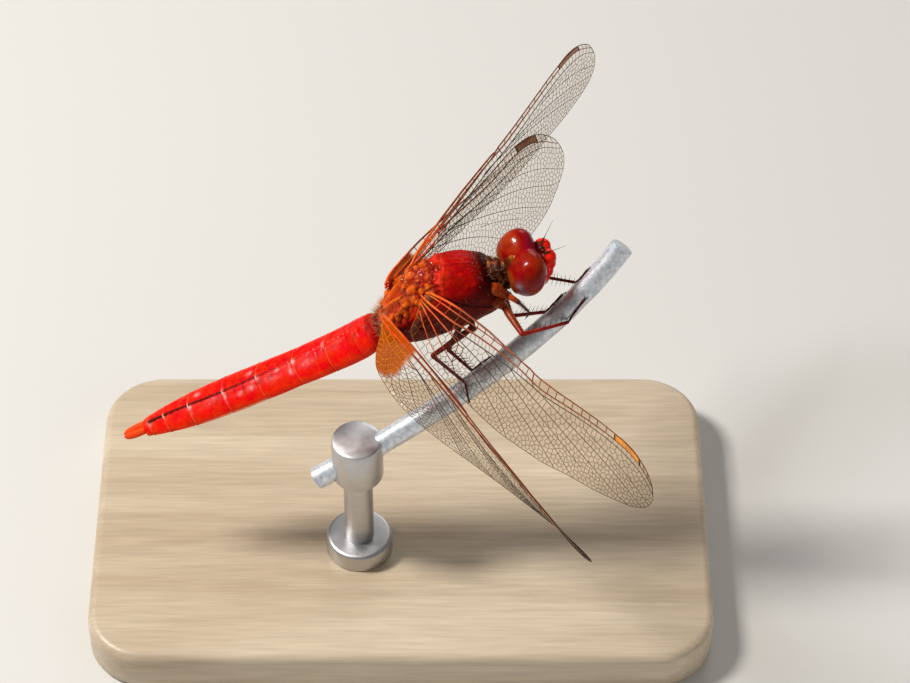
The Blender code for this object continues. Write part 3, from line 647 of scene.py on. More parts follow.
    # abdomen rings
    stations, props = [], []
    s0 = 0.0
    for k, (name, length, w0, w1, ratio) in enumerate(SEGMENTS):
        m = max(8, int(length / 0.066))
        f = 0.5 - 0.5 * np.cos(np.pi * (np.arange(m) + 0.5) / m)
        f = 0.35 * f + 0.65 * (np.arange(m) + 0.5) / m
        for g in f:
            stations.append(s0 + g * length)
            props.append((k, g, length, w0 + (w1 - w0) * g + 0.035 * math.sin(math.pi * g), ratio))
        s0 += length
    s = np.array(stations)
    k, f, length, w, ratio = (np.array(v) for v in zip(*props))
    ratio = np.interp(s, np.cumsum([0] + [g[1] for g in SEGMENTS])[:-1] + 0.5 * np.array([g[1] for g in SEGMENTS]),
                      [g[4] for g in SEGMENTS])
    w = w * np.where(k == 9, 1 - 0.55 * smoothstep(0.72, 1.02, f), 1.0)
    w = w * (1 - 0.10 * smoothstep(0.5, 0.0, s))
    c, back, up = abdomen_axis(s)
    roof = 0.80 * sin + 0.20 * (1 - np.abs(cos))
    zc = np.where(sin >= 0, roof, -VENTER * np.abs(sin) ** 0.6)
    q = (c[:, None] + w[:, None, None] * (cos[None, :, None] * np.array((0, 1, 0))
         + (ratio[:, None] * zc[None])[..., None] * up))
    nq = grid_normals(q)
    if nq[50, n // 4, 2] < 0:
        nq = -nq
    # the joint rings bow to the rear on the back
    bow = 0.21 * (np.clip(sin, 0, 1) + (1 - np.abs(cos)) * (sin > 0))
    dist_rear = (1 - f)[:, None] * length[:, None] + np.zeros(n)[None]
    dist_front = f[:, None] * length[:, None] + np.zeros(n)[None]
    upper = smoothstep(-0.15, 0.25, sin)[None]
    e = np.zeros(q.shape[:2])
    ring = gauss(dist_rear - 0.09, 0.065) * (k < 9)[:, None]
    e += 0.045 * ring
    e -= 0.07 * gauss(dist_front + 0.0, 0.09)
    lines = np.zeros_like(e)
    for seg, pos in ((1, 0.42), (1, 0.78), (2, 0.36), (3, 0.30)):
        dd = gauss((f[:, None] - pos) * length[:, None], 0.06) * (k == seg)[:, None] * upper
        e += 0.03 * dd
        lines = np.maximum(lines, dd)
    mark_y = np.interp(s, [0, 3, 6, 9.8, 14, 17.7, 22, 27], [0.15, 0.42, 0.40, 0.14, 0.0, -0.16, -0.05, 0.0])[:, None]
    keel_y = np.abs(cos[None] * w[:, None] - mark_y)
    on_keel = (k >= 1) & (k <= 8)
    kk = gauss(keel_y, 0.085) * (sin > 0)[None] * on_keel[:, None]
    e += 0.07 * kk * smoothstep(0.0, 0.25, dist_front) * smoothstep(0.0, 0.2, dist_rear)
    lateral = gauss(np.abs(sin)[None] * w[:, None] * ratio[:, None], 0.07) * ((k >= 2) & (k <= 8))[:, None]
    e += 0.05 * lateral
    e += 0.012 * value_noise(q.reshape(-1, 3), 0.9, 9).reshape(e.shape) * upper
    # shallow hollows on each side of the keel
    e -= 0.05 * gauss(keel_y - 0.75, 0.35) * (sin > 0.2)[None] * smoothstep(0.1, 0.5, f)[:, None] * smoothstep(0.95, 0.6, f)[:, None]
    yside = cos[None] * w[:, None] - mark_y
    # painted highlights at the GLINTS places, each over a small raised bump
    glow = np.zeros_like(e)
    for ps, py, rs, ry, st in GLINTS:
        g = np.exp(-(((s[:, None] - ps) / rs) ** 2 + ((yside - py) / ry) ** 2)) * (sin > 0)[None]
        glow = np.maximum(glow, st * g)
        e += 0.03 * g
    tail_off = smoothstep(27.0, 26.2, s)[:, None]
    ahead = np.interp(s, [0, 4, 6, 10, 15, 18, 22, 27], [0.0, 0.15, 0.30, 0.42, 0.42, 0.34, 0.10, 0.0])[:, None]
    q = q + nq * e[..., None] + ((bow[None] * tail_off * np.interp(s, [0, 15, 22, 27], [1, 1, 0.6, 0.6])[:, None] - ahead) * (gauss(dist_rear, 0.5) + gauss(dist_front, 0.5)))[..., None] * back
    ca = np.broadcast_to(ABD_RED, q.shape).copy()
    low_side = smoothstep(0.75, 0.10, np.abs(sin))
    orange_mix = 0.75 * low_side[None] + 0.12 * smoothstep(0.5, 0.9, f)[:, None] + 0.5 * smoothstep(24.0, 26.5, s)[:, None]
    ca = ca + (ABD_ORANGE - ca) * np.clip(orange_mix, 0, 1)[..., None]
    ca = ca * (1 + 0.06 * value_noise(q.reshape(-1, 3), 2.4, 11).reshape(e.shape)[..., None])
    # deep red clouds near the middle of the front rings
    cloud = value_noise(q.reshape(-1, 3), 0.85, 14).reshape(e.shape)
    shade = np.interp(s, [0, 3, 5, 9, 11, 17, 19, 22, 27], [0.8, 0.5, 0.6, 0.35, 0.7, 0.65, 0.3, 0.15, 0.1])[:, None]
    shade = shade * gauss(keel_y - 0.55, 0.60) * (sin > 0)[None] * smoothstep(-0.1, 0.7, cloud)
    ca = ca + (np.array((0.30, 0.004, 0.002)) - ca) * np.clip(shade, 0, 1)[..., None]
    belly = smoothstep(-0.1, -0.5, sin)[None] + np.zeros_like(e)
    ca = ca + (np.array((0.42, 0.045, 0.02)) - ca) * (0.8 * belly)[..., None]
    ca = ca + (np.array((0.30, 0.008, 0.004)) - ca) * (0.35 * gauss(dist_front, 0.08))[..., None]
    ca = ca + (np.array((0.30, 0.006, 0.004)) - ca) * (0.75 * smoothstep(1.1, 0.3, s))[:, None, None]
    pale = np.clip(ring * upper + 0.22 * lines, 0, 1)
    ca = ca + (np.array((0.95, 0.18, 0.06)) - ca) * (pale * np.interp(s, [0, 3, 6, 27], [0.10, 0.16, 0.36, 0.36])[:, None])[..., None]
    # the painted highlights go on as pale pink spots
    spot = np.clip(glow * (0.75 + 0.45 * value_noise(q.reshape(-1, 3), 0.45, 17).reshape(e.shape)), 0, 1)
    ca = ca + (np.array((0.96, 0.42, 0.40)) - ca) * spot[..., None]
    # painted highlights where the pale rings meet the keel
    joint = ring * gauss(yside + 0.10, 0.22) * (sin > 0)[None] * smoothstep(5.0, 9.0, s)[:, None] * smoothstep(26.5, 24.0, s)[:, None]
    ca = ca + (np.array((0.96, 0.72, 0.66)) - ca) * np.clip(0.85 * joint, 0, 1)[..., None]
    edge_line = gauss(np.abs(sin)[None] * w[:, None] * ratio[:, None] - 0.02, 0.10) * smoothstep(12.5, 14.5, s)[:, None] * smoothstep(22, 19, s)[:, None]
    ca = ca + (np.array((0.95, 0.42, 0.24)) - ca) * np.clip(0.55 * edge_line, 0, 1)[..., None]
    line_strength = np.interp(s, [0, 5, 7, 10, 13, 17, 26.6, 27], [0.0, 0.10, 0.40, 0.55, 0.85, 1.0, 1.0, 0.6])[:, None]
    line_width = np.interp(s, [0, 12, 18, 22, 24.5, 26.2, 27], [0.065, 0.085, 0.13, 0.16, 0.21, 0.31, 0.30])[:, None]
    ragged = 1 + 0.35 * value_noise(q.reshape(-1, 3), 0.5, 23).reshape(e.shape)
    black = gauss(keel_y, ragged * line_width) * (sin > 0)[None] * on_keel[:, None] * line_strength * smoothstep(0.02, 0.22, dist_rear)
    ca = ca + (DARK - ca) * np.clip(black, 0, 1)[..., None]
    black = 0.55 * lateral * smoothstep(0.75, 1.0, f)[:, None]
    ca = ca + (DARK - ca) * np.clip(black, 0, 1)[..., None]
    # painted highlights: a row of pale dots along the keel of the front segments
    glint_dots = gauss(keel_y - 0.05, 0.06) * smoothstep(0.80, 1.0, np.sin(s * 16.0) * np.sin(s * 5.3 + 1))[:, None] * ((s > 2.6) & (s < 11))[:, None] * (sin > 0)[None]
    ca = ca + (np.array((0.95, 0.55, 0.48)) - ca) * (0.8 * glint_dots)[..., None]
    pts = np.concatenate([p, q])
    col = np.concatenate([col, ca])
    rows = len(pts)
    verts = pts.reshape(-1, 3)
    faces = grid_faces(rows, n)
    caps = np.stack([np.arange(n)[::-1], (rows - 1) * n + np.arange(n)])
    i, j = np.divmod(np.arange((rows - 1) * n), n)
    uv = np.stack([np.stack([0.02 + 0.96 * j / n, 0.02 + 0.96 * i / rows], -1),
                   np.stack([0.02 + 0.96 * (j + 1) / n, 0.02 + 0.96 * i / rows], -1),
                   np.stack([0.02 + 0.96 * (j + 1) / n, 0.02 + 0.96 * (i + 1) / rows], -1),
                   np.stack([0.02 + 0.96 * j / n, 0.02 + 0.96 * (i + 1) / rows], -1)], 1).reshape(-1, 2)
    uv = np.concatenate([uv, np.full((2 * n, 2), 0.005)])
    shiny = np.zeros(rows * n, bool)
    shiny[:len(p) * n] = (notum > 0.25).ravel() | (orange > 0.2).ravel()
    slots = np.concatenate([np.where(i < len(p), np.where(shiny[:len(i)], 2, 0), 1), [0, 1]])
    m = np.array(BODY)
    ob = mesh_object("body_skin", place(verts, BODY), [faces, caps], [MAT_THORAX, MAT_ABDOMEN, MAT_NOTUM],
                     np.clip(col.reshape(-1, 3), 0, 1), uv=uv, slots=slots)
    ride(ob, "abdomen_red", "thorax", *("abdomen_" + g[0] for g in SEGMENTS))
    return pts, len(p), n


def build_down(pts, thorax_rows, n):
    """Short pale down on the thorax, rooted at points picked over its grid."""
    p = pts[:thorax_rows]
    nrm = grid_normals(p)
    if nrm[90, n // 4, 2] < 0:
        nrm = -nrm
    flat, nf = p.reshape(-1, 3), nrm.reshape(-1, 3)
    x, y, z = flat.T
    front = smoothstep(5.0, 5.9, x) * smoothstep(6.45, 6.2, x)
    rear = smoothstep(-3.6, -5.6, x) * (nf[:, 2] > 0.1)
    sides = 0.35 * smoothstep(0.4, 0.0, np.abs(nf[:, 2]))
    weight = np.clip(0.2 * front * smoothstep(0.2, 0.7, nf[:, 2]) + 0.75 * rear + 0.10 * sides, 0, 2)
    weight *= smoothstep(6.47, 6.3, x)
    weight *= np.repeat(np.linalg.norm(np.diff(p, axis=1, append=p[:, :1]), axis=-1).mean(1), n)
    count = 700
    pick = RNG.choice(len(flat), count, replace=False, p=weight / weight.sum())
    root, nn = flat[pick] - nf[pick] * 0.02, nf[pick]
    lean = np.array((-0.35, 0.0, 0.15)) + RNG.normal(0, 0.28, (count, 3))
    way = unit(nn + lean)
    length = RNG.uniform(0.30, 0.65, count) * (0.75 + 0.3 * front[pick] + 0.5 * rear[pick])
    t = np.array([0, 0.5, 1.0])
    bend = np.array((-0.25, 0, -0.1))
    paths = root[:, None] + way[:, None] * (length[:, None] * t)[..., None] + bend * (length[:, None] * t**2)[..., None] * 0.5
    r = np.array([0.012, 0.008, 0.002])[None] * RNG.uniform(0.8, 1.2, (count, 1))
    v, q, caps = tubes(paths, r, 3)
    pale = np.array((0.80, 0.45, 0.20)) * RNG.uniform(0.6, 1.2, (count, 1))
    low = smoothstep(0.35, 0.0, nf[pick, 2])[:, None]
    pale = pale + (np.array((0.42, 0.06, 0.02)) - pale) * low
    col = np.repeat(pale, 9, axis=0)
    rows = pts.shape[0]
    i, j = np.divmod(pick, n)
    ru, rv = 0.02 + 0.96 * j / n, 0.02 + 0.96 * i / rows
    corner = np.array([(0, 0), (0.003, 0), (0.003, 0.003), (0, 0.003)]) - 0.0015
    uq = np.stack([ru, rv], -1)[:, None, None] + corner[None, None]
    uq = np.broadcast_to(uq, (count, 6, 4, 2)).reshape(-1, 2)
    uc = np.stack([ru, rv], -1)[:, None] + corner[None, :3]
    uc = np.concatenate([uc.reshape(-1, 2), uc.reshape(-1, 2)])
    ob = mesh_object("thorax_down", place(v, BODY), [q, caps], [MAT_SPINE], np.clip(col, 0, 1),
                     uv=np.concatenate([uq, uc]))
    ride(ob, "bristle")


# ================================================================ head
def remeshed(parts, voxel, smooth_steps, name):
    """Union of closed shapes as one skin; works in mm."""
    b = Batch()
    for verts, polys in parts:
        b.add(verts, polys, (1, 1, 1))
    ob = b.build(name, Matrix.Scale(1000, 4), [])
    m = ob.modifiers.new("skin", "REMESH")
    m.mode = "VOXEL"
    m.voxel_size = voxel
    s = ob.modifiers.new("soft", "SMOOTH")
    s.factor, s.iterations = 0.5, smooth_steps
    dg = bpy.context.evaluated_depsgraph_get()
    me = bpy.data.meshes.new_from_object(ob.evaluated_get(dg))
    bpy.data.objects.remove(ob)
    co = np.zeros(len(me.vertices) * 3)
    me.vertices.foreach_get("co", co)
    nr = np.zeros(len(me.vertices) * 3)
    me.vertices.foreach_get("normal", nr)
    quads = np.zeros(len(me.loops), np.int32)
    me.loops.foreach_get("vertex_index", quads)
    sizes = np.array([p.loop_total for p in me.polygons])
    assert (sizes == 4).all()
    bpy.data.meshes.remove(me)
    return co.reshape(-1, 3), nr.reshape(-1, 3), quads.reshape(-1, 4)


def hair_uv(root, axis_lo, axis_hi, count):
    """OFBake patches of three-sided hairs, by their roots round and along the X axis."""
    ru = 0.02 + 0.96 * (np.arctan2(root[:, 1], root[:, 2]) / TAU + 0.5)
    rv = 0.02 + 0.96 * np.clip((root[:, 0] - axis_lo) / (axis_hi - axis_lo), 0, 1)
    corner = np.array([(0, 0), (0.003, 0), (0.003, 0.003), (0, 0.003)]) - 0.0015
    uq = np.broadcast_to(np.stack([ru, rv], -1)[:, None, None] + corner[None, None], (count, 6, 4, 2)).reshape(-1, 2)
    uc = (np.stack([ru, rv], -1)[:, None] + corner[None, :3]).reshape(-1, 2)
    return np.concatenate([uq, uc, uc])


def tilt(x=0, y=0, z=0):
    return Euler((math.radians(x), math.radians(y), math.radians(z)), "XYZ").to_matrix()


def build_head():
    parts = [ball((-0.35, 0, -0.25), (1.50, 2.50, 2.05), 48, 28)]
    for s in (1, -1):
        parts += [
            ball((2.32, s * 0.66, 0.78), (0.86, 0.86, 0.80), 32, 18),            # frons lobe
            ball((1.55, s * 1.30, -0.20), (0.85, 0.55, 1.05), 32, 18),           # cheek
            ball((1.60, s * 1.42, -1.30), (0.82, 0.46, 0.95), 32, 18),           # mandible
            ball((1.42, s * 0.84, -2.22), (1.22, 0.80, 0.68), 32, 18, tilt(y=18)),  # lip lobe
            ball((-1.05, s * 1.55, -0.55), (0.75, 1.00, 1.55), 32, 18),          # temple
            ball((2.15, s * 0.60, 1.50), (0.20, 0.20, 0.20), 20, 12),            # feeler socket
        ]
    parts += [
        ball((2.15, 0, 0.55), (0.95, 1.05, 0.80), 32, 18),
        ball((2.46, 0, -0.12), (0.90, 1.55, 0.54), 40, 20),                       # upper nose plate
        ball((2.28, 0, -0.64), (0.95, 1.50, 0.32), 40, 18),                       # lower nose plate
        ball((2.36, 0, -1.30), (0.86, 1.52, 0.62), 40, 20, tilt(y=10)),           # upper lip
        ball((1.00, 0, -0.90), (1.50, 1.60, 1.40), 32, 18),
        ball((1.85, 0, 1.42), (0.36, 0.42, 0.46), 32, 18),                        # ocellar knob
        ball((-1.22, 0, 1.30), (0.27, 0.33, 0.42), 24, 14, tilt(y=-20)),          # occiput
    ]
    co, nr, quads = remeshed(parts, 0.06, 5, "head_tmp")
    x, y, z = co.T
    ay = np.abs(y)
    # furrow of the frons, lip midline, lip edge
    co = co - nr * (0.05 * gauss(ay, 0.06) * (x > 2.2) * (z < -0.85))[:, None]
    co = co + nr * (0.010 * value_noise(co, 0.35, 2))[:, None]
    face = smoothstep(1.0, 1.5, x) * smoothstep(2.15, 1.7, z)
    bright = np.array((0.90, 0.012, 0.0030))
    brown = np.array((0.24, 0.050, 0.008))
    col = brown[None] + (bright - brown)[None] * face[:, None]
    col = col * (1 + 0.12 * value_noise(co, 1.0, 8))[:, None]
    low = smoothstep(-0.9, -1.9, z) * (x > 0.5)
    col = col + (np.array((0.62, 0.060, 0.008)) - col) * (0.8 * low)[:, None]
    for z0, w in ((-0.46, 0.05), (-0.84, 0.05), (-1.74, 0.07)):
        g = gauss(z - z0 - 0.05 * y * y, w) * (x > 1.2)
        col = col * (1 - 0.55 * g)[:, None]
    g = gauss(ay, 0.05) * (z > 0.2) * (x > 2.0)
    col = col * (1 - 0.5 * g)[:, None]
    knob = smoothstep(1.30, 1.50, z) * smoothstep(2.35, 2.10, x) * smoothstep(1.0, 1.3, x) * smoothstep(0.95, 0.75, ay)
    col = col + (np.array((0.045, 0.008, 0.005)) - col) * knob[:, None]
    edge = gauss(x - 1.62 - 0.10 * z, 0.22) * (z > 0.4) * (z < 1.9)
    col = col + (np.array((0.06, 0.006, 0.004)) - col) * (0.85 * edge)[:, None]
    occ = smoothstep(1.20, 1.50, z) * smoothstep(-0.6, -0.9, x) * smoothstep(0.55, 0.35, ay)
    col = col + (np.array((0.46, 0.12, 0.010)) - col) * occ[:, None]
    temple = smoothstep(-0.8, -1.2, x) * smoothstep(1.6, 1.0, z) * smoothstep(0.7, 1.1, ay)
    col = col + (np.array((0.24, 0.055, 0.008)) - col) * (0.7 * temple)[:, None]
    spots = gauss(z + 0.5, 0.28) + gauss(z - 0.75, 0.22) + gauss(z + 1.6, 0.25)
    col = col + (DARK - col) * np.clip(0.85 * spots * smoothstep(-1.1, -1.35, x) * smoothstep(0.9, 1.3, ay), 0, 1)[:, None]
    hole = smoothstep(-1.3, -1.6, x) * smoothstep(1.1, 0.8, ay)
    col = col + (DARK - col) * (0.8 * hole)[:, None]
    ob = mesh_object("head_skin", place(co, HEAD), [quads], [MAT_HEAD], np.clip(col, 0, 1))
    ride(ob, "face", "head", "face")
    # ocelli
    b = Batch()
    for c, r in (((2.14, 0.0, 1.66), 0.13), ((1.86, 0.34, 1.72), 0.11), ((1.86, -0.34, 1.72), 0.11)):
        b.add(*ball(c, (r, r, r), 20, 12), (0.30, 0.05, 0.015))
    ride(b.build("ocelli", HEAD, [MAT_EYE]), "eye")
    # eyes
    for side, s in (("left", 1), ("right", -1)):
        v, polys = ball((0, 0, 0), (1, 1, 1), 112, 72)
        inner = v[:, 1] * s < 0
        v = v * np.array(EYE_SEMI)
        v[inner, 1] *= EYE_INNER / EYE_SEMI[1]
        v[:, 0] *= np.where(v[:, 0] < 0, 1.13, 1.0)
        v[:, 0] += 0.15 * np.maximum(v[:, 2], 0)
        v = v + np.array((0, s * EYE_OFF, EYE_UP))
        # the rear edge turns in to the head
        b = Batch()
        b.add(v, polys, (1, 1, 1))
        ob = b.build("eye_%s_globe" % side, Matrix.Scale(1000, 4), [MAT_EYE])
        bm = bmesh.new()
        bm.from_mesh(ob.data)
        bmesh.ops.bisect_plane(bm, geom=bm.verts[:] + bm.edges[:] + bm.faces[:], dist=1e-5,
                               plane_co=(0, 0, 0), plane_no=(0, -s, 0), clear_outer=True)
        bmesh.ops.holes_fill(bm, edges=[e for e in bm.edges if e.is_boundary])
        bmesh.ops.recalc_face_normals(bm, faces=bm.faces)
        bm.to_mesh(ob.data)
        bm.free()
        ob.data.set_sharp_from_angle(angle=math.radians(50))
        me = ob.data
        c = np.zeros(len(me.vertices) * 3)
        me.vertices.foreach_get("co", c)
        c = c.reshape(-1, 3)
        x, y, z = c.T
        red = np.array((0.27, 0.0016, 0.0008))
        brown = np.array((0.40, 0.036, 0.0018))
        grey = np.array((0.36, 0.31, 0.42))
        col = red[None] * (1 + 0.10 * value_noise(c, 1.8, 21))[:, None]
        # the brown top is the eyes' own colour; the left eye gets more of it than the right as painted light, as the
        # two eyes are alike
        up = smoothstep(0.6, 2.2, z) * smoothstep(0.6, -0.8, x)
        col = col + (brown - col) * ((0.85 if s > 0 else 0.35) * up)[:, None]
        lower = smoothstep(-0.2, -1.5, z)
        col = col + (np.array((0.34, 0.034, 0.004)) - col) * (0.85 * lower)[:, None]
        p0, p1 = np.array((-1.30, 2.65, 0.30)), np.array((-0.45, 3.10, -1.55))
        q = np.stack([x, y * s, z], -1) - p0
        f = np.clip(q @ (p1 - p0) / ((p1 - p0) @ (p1 - p0)), 0, 1)
        off = np.linalg.norm(q - np.multiply.outer(f, p1 - p0), axis=1)
        col = col + (grey - col) * (0.85 * gauss(off, 0.36))[:, None]
        rim = smoothstep(-1.62, -1.82, x)
        col = col + (np.array((0.26, 0.050, 0.006)) - col) * (0.80 * rim * (1 - 0.8 * gauss(off, 0.3)))[:, None]
        cc = np.ones((len(c), 4), np.float32)
        cc[:, :3] = np.clip(col, 0, 1)
        me.attributes.remove(me.attributes["Col"])
        me.attributes.new("Col", "FLOAT_COLOR", "POINT").data.foreach_set("color", cc.ravel())
        me.vertices.foreach_set("co", place(c, HEAD).astype(np.float32).ravel())
        me.update()
        ride(ob, "eye", "eye_" + side)
    # feelers: two stout joints and a fine bristle
    b = Batch()
    for s in (1, -1):
        root = np.array((2.15, s * 0.60, 1.55))
        way = unit(np.array((0.62, s * 0.42, 0.62)))
        t = np.linspace(0, 1, 12)
        path = root + way * (2.3 * t)[:, None] + np.array((0, 0, 0.25)) * (t * t)[:, None]
        r = np.interp(t, [0, 0.08, 0.14, 0.2, 0.3, 1], [0.10, 0.11, 0.08, 0.09, 0.030, 0.012])
        v, q, caps = tubes(path[None], r[None], 12)
        b.add(v, [q, caps], (0.05, 0.014, 0.008))
    ride(b.build("feelers", HEAD, [MAT_LEG]), "brown_cuticle", "antenna_left", "antenna_right")
    # bristles of the face
    pick = RNG.choice(np.flatnonzero((co[:, 0] > 1.5) & (co[:, 2] < 1.2)), 180, replace=False)
    root, way = co[pick] - nr[pick] * 0.02, unit(nr[pick] + RNG.normal(0, 0.2, (180, 3)) + np.array((0.1, 0, 0.15)))
    t = np.array([0, 0.55, 1.0])
    length = RNG.uniform(0.10, 0.22, 180)
    v, q, caps = tubes(root[:, None] + way[:, None] * (length[:, None] * t)[..., None],
                       np.array([[0.009, 0.006, 0.002]]), 3)
    ob = mesh_object("face_bristles", place(v, HEAD), [q, caps], [MAT_SPINE],
                     np.broadcast_to((0.05, 0.012, 0.008), v.shape), uv=hair_uv(root, -2.0, 3.4, 180))
    ride(ob, "bristle")


def build_neck():
    parts = [
        ball((6.95, 0, -1.62), (0.62, 1.35, 1.45), 36, 20),
        ball((6.75, 0, -0.30), (0.34, 1.25, 0.45), 36, 16, tilt(y=-12)),
        ball((7.28, 0, -0.55), (0.30, 1.00, 0.42), 36, 16, tilt(y=-12)),
        ball((7.70, 0, -1.55), (0.75, 0.78, 0.95), 30, 16),
    ]
    for s in (1, -1):
        parts += [ball((7.00, s * 0.95, -1.30), (0.38, 0.50, 0.62), 24, 14),
                  ball((6.95, s * 1.00, -2.55), (0.50, 0.48, 0.62), 24, 14),
                  ball((6.72, s * 0.62, 0.02), (0.22, 0.50, 0.26), 24, 12)]
    co, nr, quads = remeshed(parts, 0.06, 3, "neck_tmp")
    co = co + nr * (0.035 * value_noise(co, 0.4, 31))[:, None]
    x, y, z = co.T
    n = value_noise(co, 0.7, 33)
    col = np.array((0.10, 0.016, 0.005))[None] * (1 + 0.35 * n)[:, None]
    col = col + (np.array((0.55, 0.13, 0.015)) - col) * (0.80 * smoothstep(0.25, 0.75, n) * (z > -1.9))[:, None]
    col = col + (DARK - col) * (0.75 * smoothstep(0.1, 0.7, -n) * smoothstep(-0.2, -1.0, z))[:, None]
    ob = mesh_object("neck_skin", place(co, BODY), [quads], [MAT_NECK], np.clip(col, 0, 1))
    ride(ob, "brown_cuticle", "prothorax")
    pick = RNG.choice(np.flatnonzero((x > 6.4) & (x < 7.6)), 420, replace=False)
    way = unit(nr[pick] + RNG.normal(0, 0.3, (420, 3)) + np.array((0.0, 0, 0.2)))
    t = np.array([0, 0.55, 1.0])
    length = RNG.uniform(0.25, 0.60, 420)
    v, q, caps = tubes(co[pick][:, None] + way[:, None] * (length[:, None] * t)[..., None],
                       np.array([[0.014, 0.009, 0.003]]), 3)
    tone = np.repeat(np.array((0.55, 0.32, 0.14)) * RNG.uniform(0.5, 1.3, (420, 1)), 9, axis=0)
    bake = hair_uv(co[pick] + np.array((0, 0, 1.4)), 6.2, 8.5, 420)
    ride(mesh_object("neck_down", place(v, BODY), [q, caps], [MAT_SPINE], np.clip(tone, 0, 1), uv=bake), "bristle")


def build_tail():
    b = Batch()
    c, back, up = abdomen_axis(27.0)
    for s in (1, -1):
        t = np.linspace(0, 1, 18)
        path = (c - back * 0.15 + np.array((0, s * 0.37, 0))) + np.multiply.outer(2.45 * t, back) \
            + np.multiply.outer(0.16 - 0.9 * t * (1 - t) * 0.25, up) + np.multiply.outer(s * -0.20 * t, (0, 1, 0))
        r = np.interp(t, [0, 0.12, 0.45, 0.72, 0.88, 0.97, 1], [0.34, 0.38, 0.42, 0.40, 0.30, 0.16, 0.06])
        v, q, caps = tubes(path[None], r[None], 18)
        shade = np.repeat(np.interp(t, [0, 0.9, 1], [1, 1, 0.6]), 18)
        b.add(v, [q, caps], np.array((0.90, 0.070, 0.008)) * shade[:, None])
    t = np.linspace(0, 1, 12)
    path = (c - back * 0.15) + np.multiply.outer(1.55 * t, back) - np.multiply.outer(0.36 - 0.10 * t, up)
    r = np.interp(t, [0, 0.3, 0.8, 1], [0.34, 0.36, 0.24, 0.10])
    v, q, caps = tubes(path[None], r[None], 18)
    b.add(v, [q, caps], (0.80, 0.060, 0.015))
    ride(b.build("tail_tips", BODY, [MAT_ABDOMEN]), "abdomen_red", "cercus_left", "cercus_right", "epiproct")


# ================================================================ wings
FORE_VEINS = {
    # name: (points, radius at start and end, ridge or valley, warmth at start and end)
    "Sc": ([(-0.03, 0.013), (0.0, 0.008), (0.07, 0.004), (0.145, 0.000), (0.25, -0.006), (0.35, -0.008), (0.44, -0.0085), (0.47, -0.0078)], (0.075, 0.050), -1.0, (1.0, 0.7)),
    "R1": ([(-0.03, 0.022), (0.0, 0.027), (0.13, 0.026), (0.2, 0.016), (0.3, 0.010), (0.41, 0.012), (0.5, 0.022), (0.56, 0.020), (0.614, 0.014), (0.68, 0.008), (0.74, 0.003), (0.82, 0.000), (0.89, 0.006), (0.93, 0.021), (0.96, 0.041), (0.99, 0.068)], (0.105, 0.040), 1.0, (1.0, 0.6)),
    "RP": ([(0.135, 0.044), (0.2, 0.042), (0.27, 0.038), (0.38, 0.034), (0.47, 0.037), (0.52, 0.040), (0.6, 0.034), (0.67, 0.026), (0.75, 0.022), (0.82, 0.022), (0.88, 0.030), (0.93, 0.046), (0.96, 0.064), (0.985, 0.086), (0.997, 0.095)], (0.065, 0.028), -0.9, (0.9, 0.25)),
    "IR1": ([(0.70, 0.043), (0.8, 0.062), (0.88, 0.086), (0.94, 0.117), (0.988, 0.149)], (0.030, 0.024), 0.7, (0.2, 0.0)),
    "RP2": ([(0.52, 0.040), (0.56, 0.050), (0.65, 0.066), (0.75, 0.088), (0.85, 0.120), (0.92, 0.152), (0.965, 0.174)], (0.038, 0.024), -0.7, (0.3, 0.0)),
    "IR2": ([(0.38, 0.034), (0.43, 0.048), (0.5, 0.065), (0.6, 0.089), (0.7, 0.120), (0.8, 0.156), (0.87, 0.185), (0.915, 0.198)], (0.042, 0.024), 0.8, (0.4, 0.0)),
    "RP3": ([(0.27, 0.038), (0.35, 0.061), (0.45, 0.092), (0.55, 0.132), (0.62, 0.168), (0.68, 0.205), (0.715, 0.2265)], (0.042, 0.024), -0.8, (0.4, 0.0)),
    "MA": ([(0.135, 0.058), (0.2, 0.064), (0.3, 0.080), (0.38, 0.100), (0.46, 0.128), (0.54, 0.165), (0.6, 0.200), (0.645, 0.2335)], (0.050, 0.026), 0.9, (0.7, 0.0)),
    "MPb": ([(-0.02, 0.034), (0.0, 0.040), (0.10, 0.058), (0.180, 0.074)], (0.085, 0.060), -0.6, (1.0, 0.8)),
    "MP": ([(0.203, 0.098), (0.25, 0.117), (0.32, 0.146), (0.39, 0.182), (0.435, 0.211), (0.462, 0.2355)], (0.045, 0.026), -0.8, (0.4, 0.0)),
    "Cu": ([(0.188, 0.134), (0.22, 0.157), (0.27, 0.185), (0.32, 0.217)], (0.045, 0.026), 0.8, (0.4, 0.0)),
    "A": ([(-0.015, 0.044), (0.0, 0.049), (0.05, 0.069), (0.11, 0.098), (0.155, 0.120), (0.188, 0.134)], (0.070, 0.045), 0.8, (1.0, 0.5)),
    "A2": ([(0.0, 0.066), (0.04, 0.094), (0.09, 0.126), (0.15, 0.155), (0.20, 0.176)], (0.050, 0.028), 0.0, (1.0, 0.1)),
    "Rspl": ([(0.52, 0.098), (0.58, 0.116), (0.66, 0.144), (0.73, 0.172)], (0.026, 0.024), 0.0, (0.0, 0.0)),
    "Mspl": ([(0.31, 0.112), (0.38, 0.131), (0.45, 0.158), (0.50, 0.184)], (0.026, 0.024), 0.0, (0.1, 0.0)),
    "T1": ([(0.180, 0.074), (0.203, 0.074)], (0.050, 0.045), 0.0, (0.8, 0.6)),
    "T2": ([(0.203, 0.074), (0.203, 0.098), (0.188, 0.134)], (0.045, 0.042), 0.0, (0.6, 0.5)),
    "T3": ([(0.180, 0.074), (0.188, 0.134)], (0.045, 0.042), 0.0, (0.6, 0.5)),
    "T4": ([(0.180, 0.074), (0.155, 0.120)], (0.035, 0.035), 0.0, (0.5, 0.5)),
    "T5": ([(0.203, 0.074), (0.206, 0.065)], (0.035, 0.035), 0.0, (0.5, 0.5)),
    "arc": ([(0.135, 0.026), (0.135, 0.065)], (0.055, 0.045), 0.0, (1.0, 1.0)),
    "sub": ([(0.470, -0.0078), (0.476, 0.020), (0.482, 0.038)], (0.065, 0.050), 0.0, (0.9, 0.8)),
}
